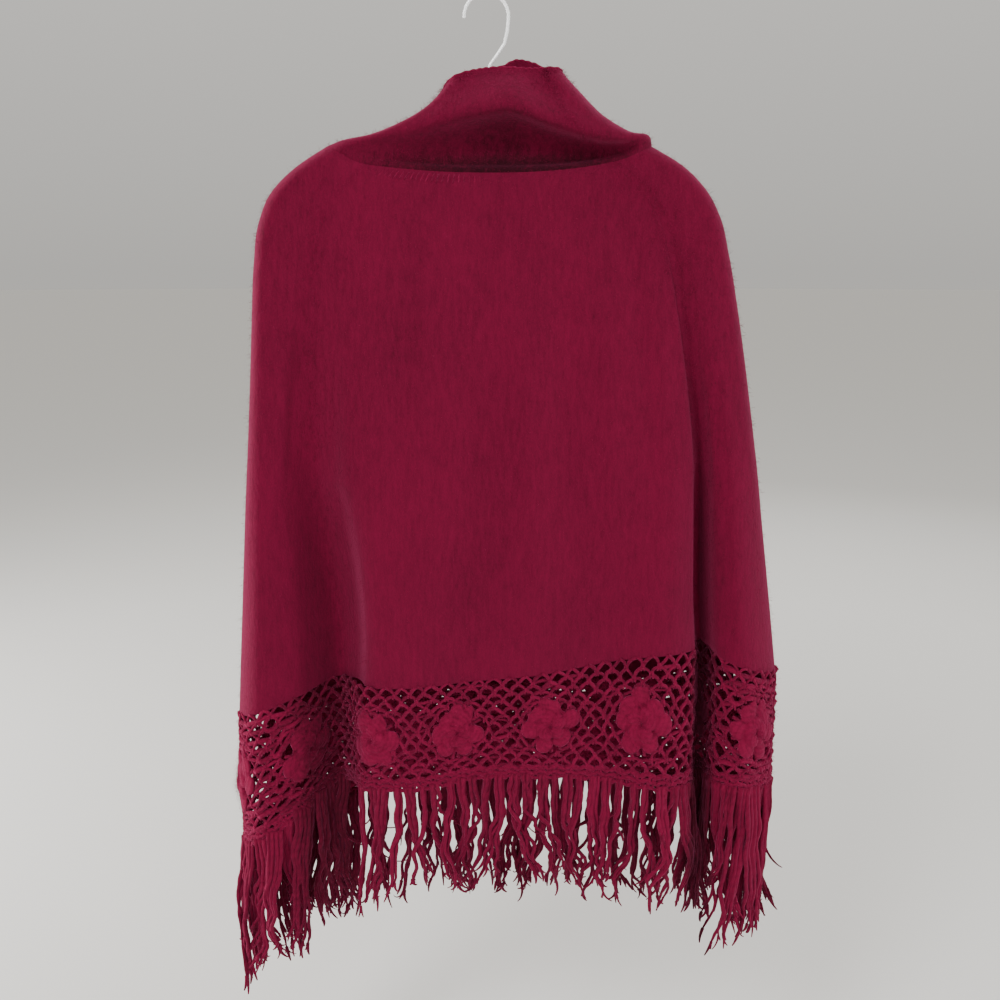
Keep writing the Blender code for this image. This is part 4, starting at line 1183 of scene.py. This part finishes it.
CAMERA_PLACE = (0.0126, -1.08, -0.247)
CAMERA_PITCH = 11.8  # degrees below level
CAMERA_LENS = 39.6  # millimetres, on a 36 mm wide picture
FLOOR_Z, FLOOR_RADII, FLOOR_SIDES = -1.20, (2.0, 8.0, 60.0), 128
FLOOR_COLOR = (0.81, 0.80, 0.775)
FLOOR_PAINTED_SHADE = (0.3, 2.5), (0.76, 1.0)  # painted shade, darker near the poncho: metres from the origin, shares of the colour there
AIR_COLOR = (0.640, 0.622, 0.590)
AIR_TONES = (0.0, 0.24), (0.83, 1.07)  # heights in the sky, shares of the colour there
WHITE, WARM = (1.0, 1.0, 1.0), (1.0, 0.985, 0.97)
LIGHTS = (
    # name, place, aim, size, power, colour
    ("key", (-1.5, -2.2, 1.8), (0.0, 0.0, -0.45), 1.2, 80.0, WARM),
    ("side", (-2.6, 0.45, 0.1), (-0.2, 0.0, -0.5), 0.7, 84.0, WARM),
    ("fill", (2.4, -0.5, 0.1), (0.2, 0.0, -0.5), 0.9, 27.0, WHITE),
    ("front", (0.5, -3.0, 0.9), (0.0, 0.0, -0.5), 2.4, 36.0, WHITE),
    ("back", (1.2, 2.8, 1.0), (0.0, 0.0, -0.5), 2.0, 22.0, WHITE),
)


def build_camera():
    data = bpy.data.cameras.new("camera")
    data.lens = CAMERA_LENS
    data.sensor_width = 36.0
    data.clip_end = 200.0
    made = bpy.data.objects.new("camera", data)
    made.location = CAMERA_PLACE
    made.rotation_euler = (math.radians(90.0 - CAMERA_PITCH), 0.0, 0.0)
    bpy.context.scene.collection.objects.link(made)
    bpy.context.scene.camera = made


def build_floor():
    """A wide round floor, under the poncho's lowest yarn."""
    angle = turns(FLOOR_SIDES)
    ring = stacked(np.cos(angle), np.sin(angle), 0 * angle)
    points = joined([np.zeros((1, 3))] + [radius * ring for radius in FLOOR_RADII]) + FLOOR_Z * UP
    index = np.arange(1, len(points)).reshape(-1, FLOOR_SIDES)
    tris = stacked(0 * index[0], index[0], np.roll(index[0], -1))
    made = mesh_object("studio_floor", points, [tris, ring_quads(index)], floor_material(), body=None)


def build_lights():
    nodes = Nodes(bpy.data.worlds, "studio_air", "Background")
    height = nodes.add("SeparateXYZ", {0: nodes.add("TexCoord", output="Generated")}, "Z")
    heights, tones = AIR_TONES
    nodes.put(nodes.shader, {"Color": nodes.ramp(height, heights, AIR_COLOR, tones)})
    bpy.context.scene.world = nodes.owner
    for name, place, aim, size, power, color in LIGHTS:
        data = bpy.data.lights.new(name, "AREA")
        data.shape, data.size, data.energy, data.color = "DISK", size, power, color
        made = bpy.data.objects.new(name, data)
        made.location = place
        made.rotation_euler = (Vector(place) - Vector(aim)).to_track_quat("Z", "Y").to_euler()
        bpy.context.scene.collection.objects.link(made)


ALPACA = (0.109, 0.0016, 0.0192)
CROCHET = (0.136, 0.0025, 0.0240)
FRINGE_COLOR = (0.124, 0.0028, 0.0220)


def main():
    build_camera()
    build_lights()
    build_floor()
    knit = knit_material("brushed_alpaca", ALPACA, 0.26)
    crochet = yarn_material("crochet_alpaca", CROCHET, sheen=0.30, plies=2, pitch=5.0, twist=0.5)
    yarns = yarn_material("fringe_alpaca", FRINGE_COLOR, sheen=0.22, plies=2, pitch=9.0, twist=0.12)
    fibres = yarn_material("loose_fibres", CROCHET, sheen=0.3, plies=1, pitch=9.0, twist=0.0)
    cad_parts["hanger"].data.materials[0] = wire_material()

    body, body_middle, body_normal = build_body(knit)
    collar, collar_middle, collar_normal = build_collar(knit)
    trims = []
    for lace in LACE_SIDES:
        side, hairs = lace.side, LACE_HAIRS[lace.side]
        net, yarn_places = build_net(lace, crochet)
        flowers, petal_places = build_flowers(lace, crochet)
        fringe, fringe_places = build_fringe(lace, yarns)
        lace_places = joined([yarn_places, petal_places[::3]])
        lace_haze = build_haze(f"lace_haze_{side}", lace_places, hairs, fibres)
        fringe_haze = build_haze(f"fringe_haze_{side}", fringe_places, FRINGE_HAIRS, fibres)
        trims += [net, flowers, fringe, lace_haze, fringe_haze]
    stitches = build_neck_stitches(crochet)
    rim = build_collar_rim(crochet)
    body_nap = build_nap("body_nap", body_middle, body_normal, BODY_HAIRS, fibres)
    collar_nap = build_nap("collar_nap", collar_middle, collar_normal, COLLAR_HAIRS, fibres)


main()
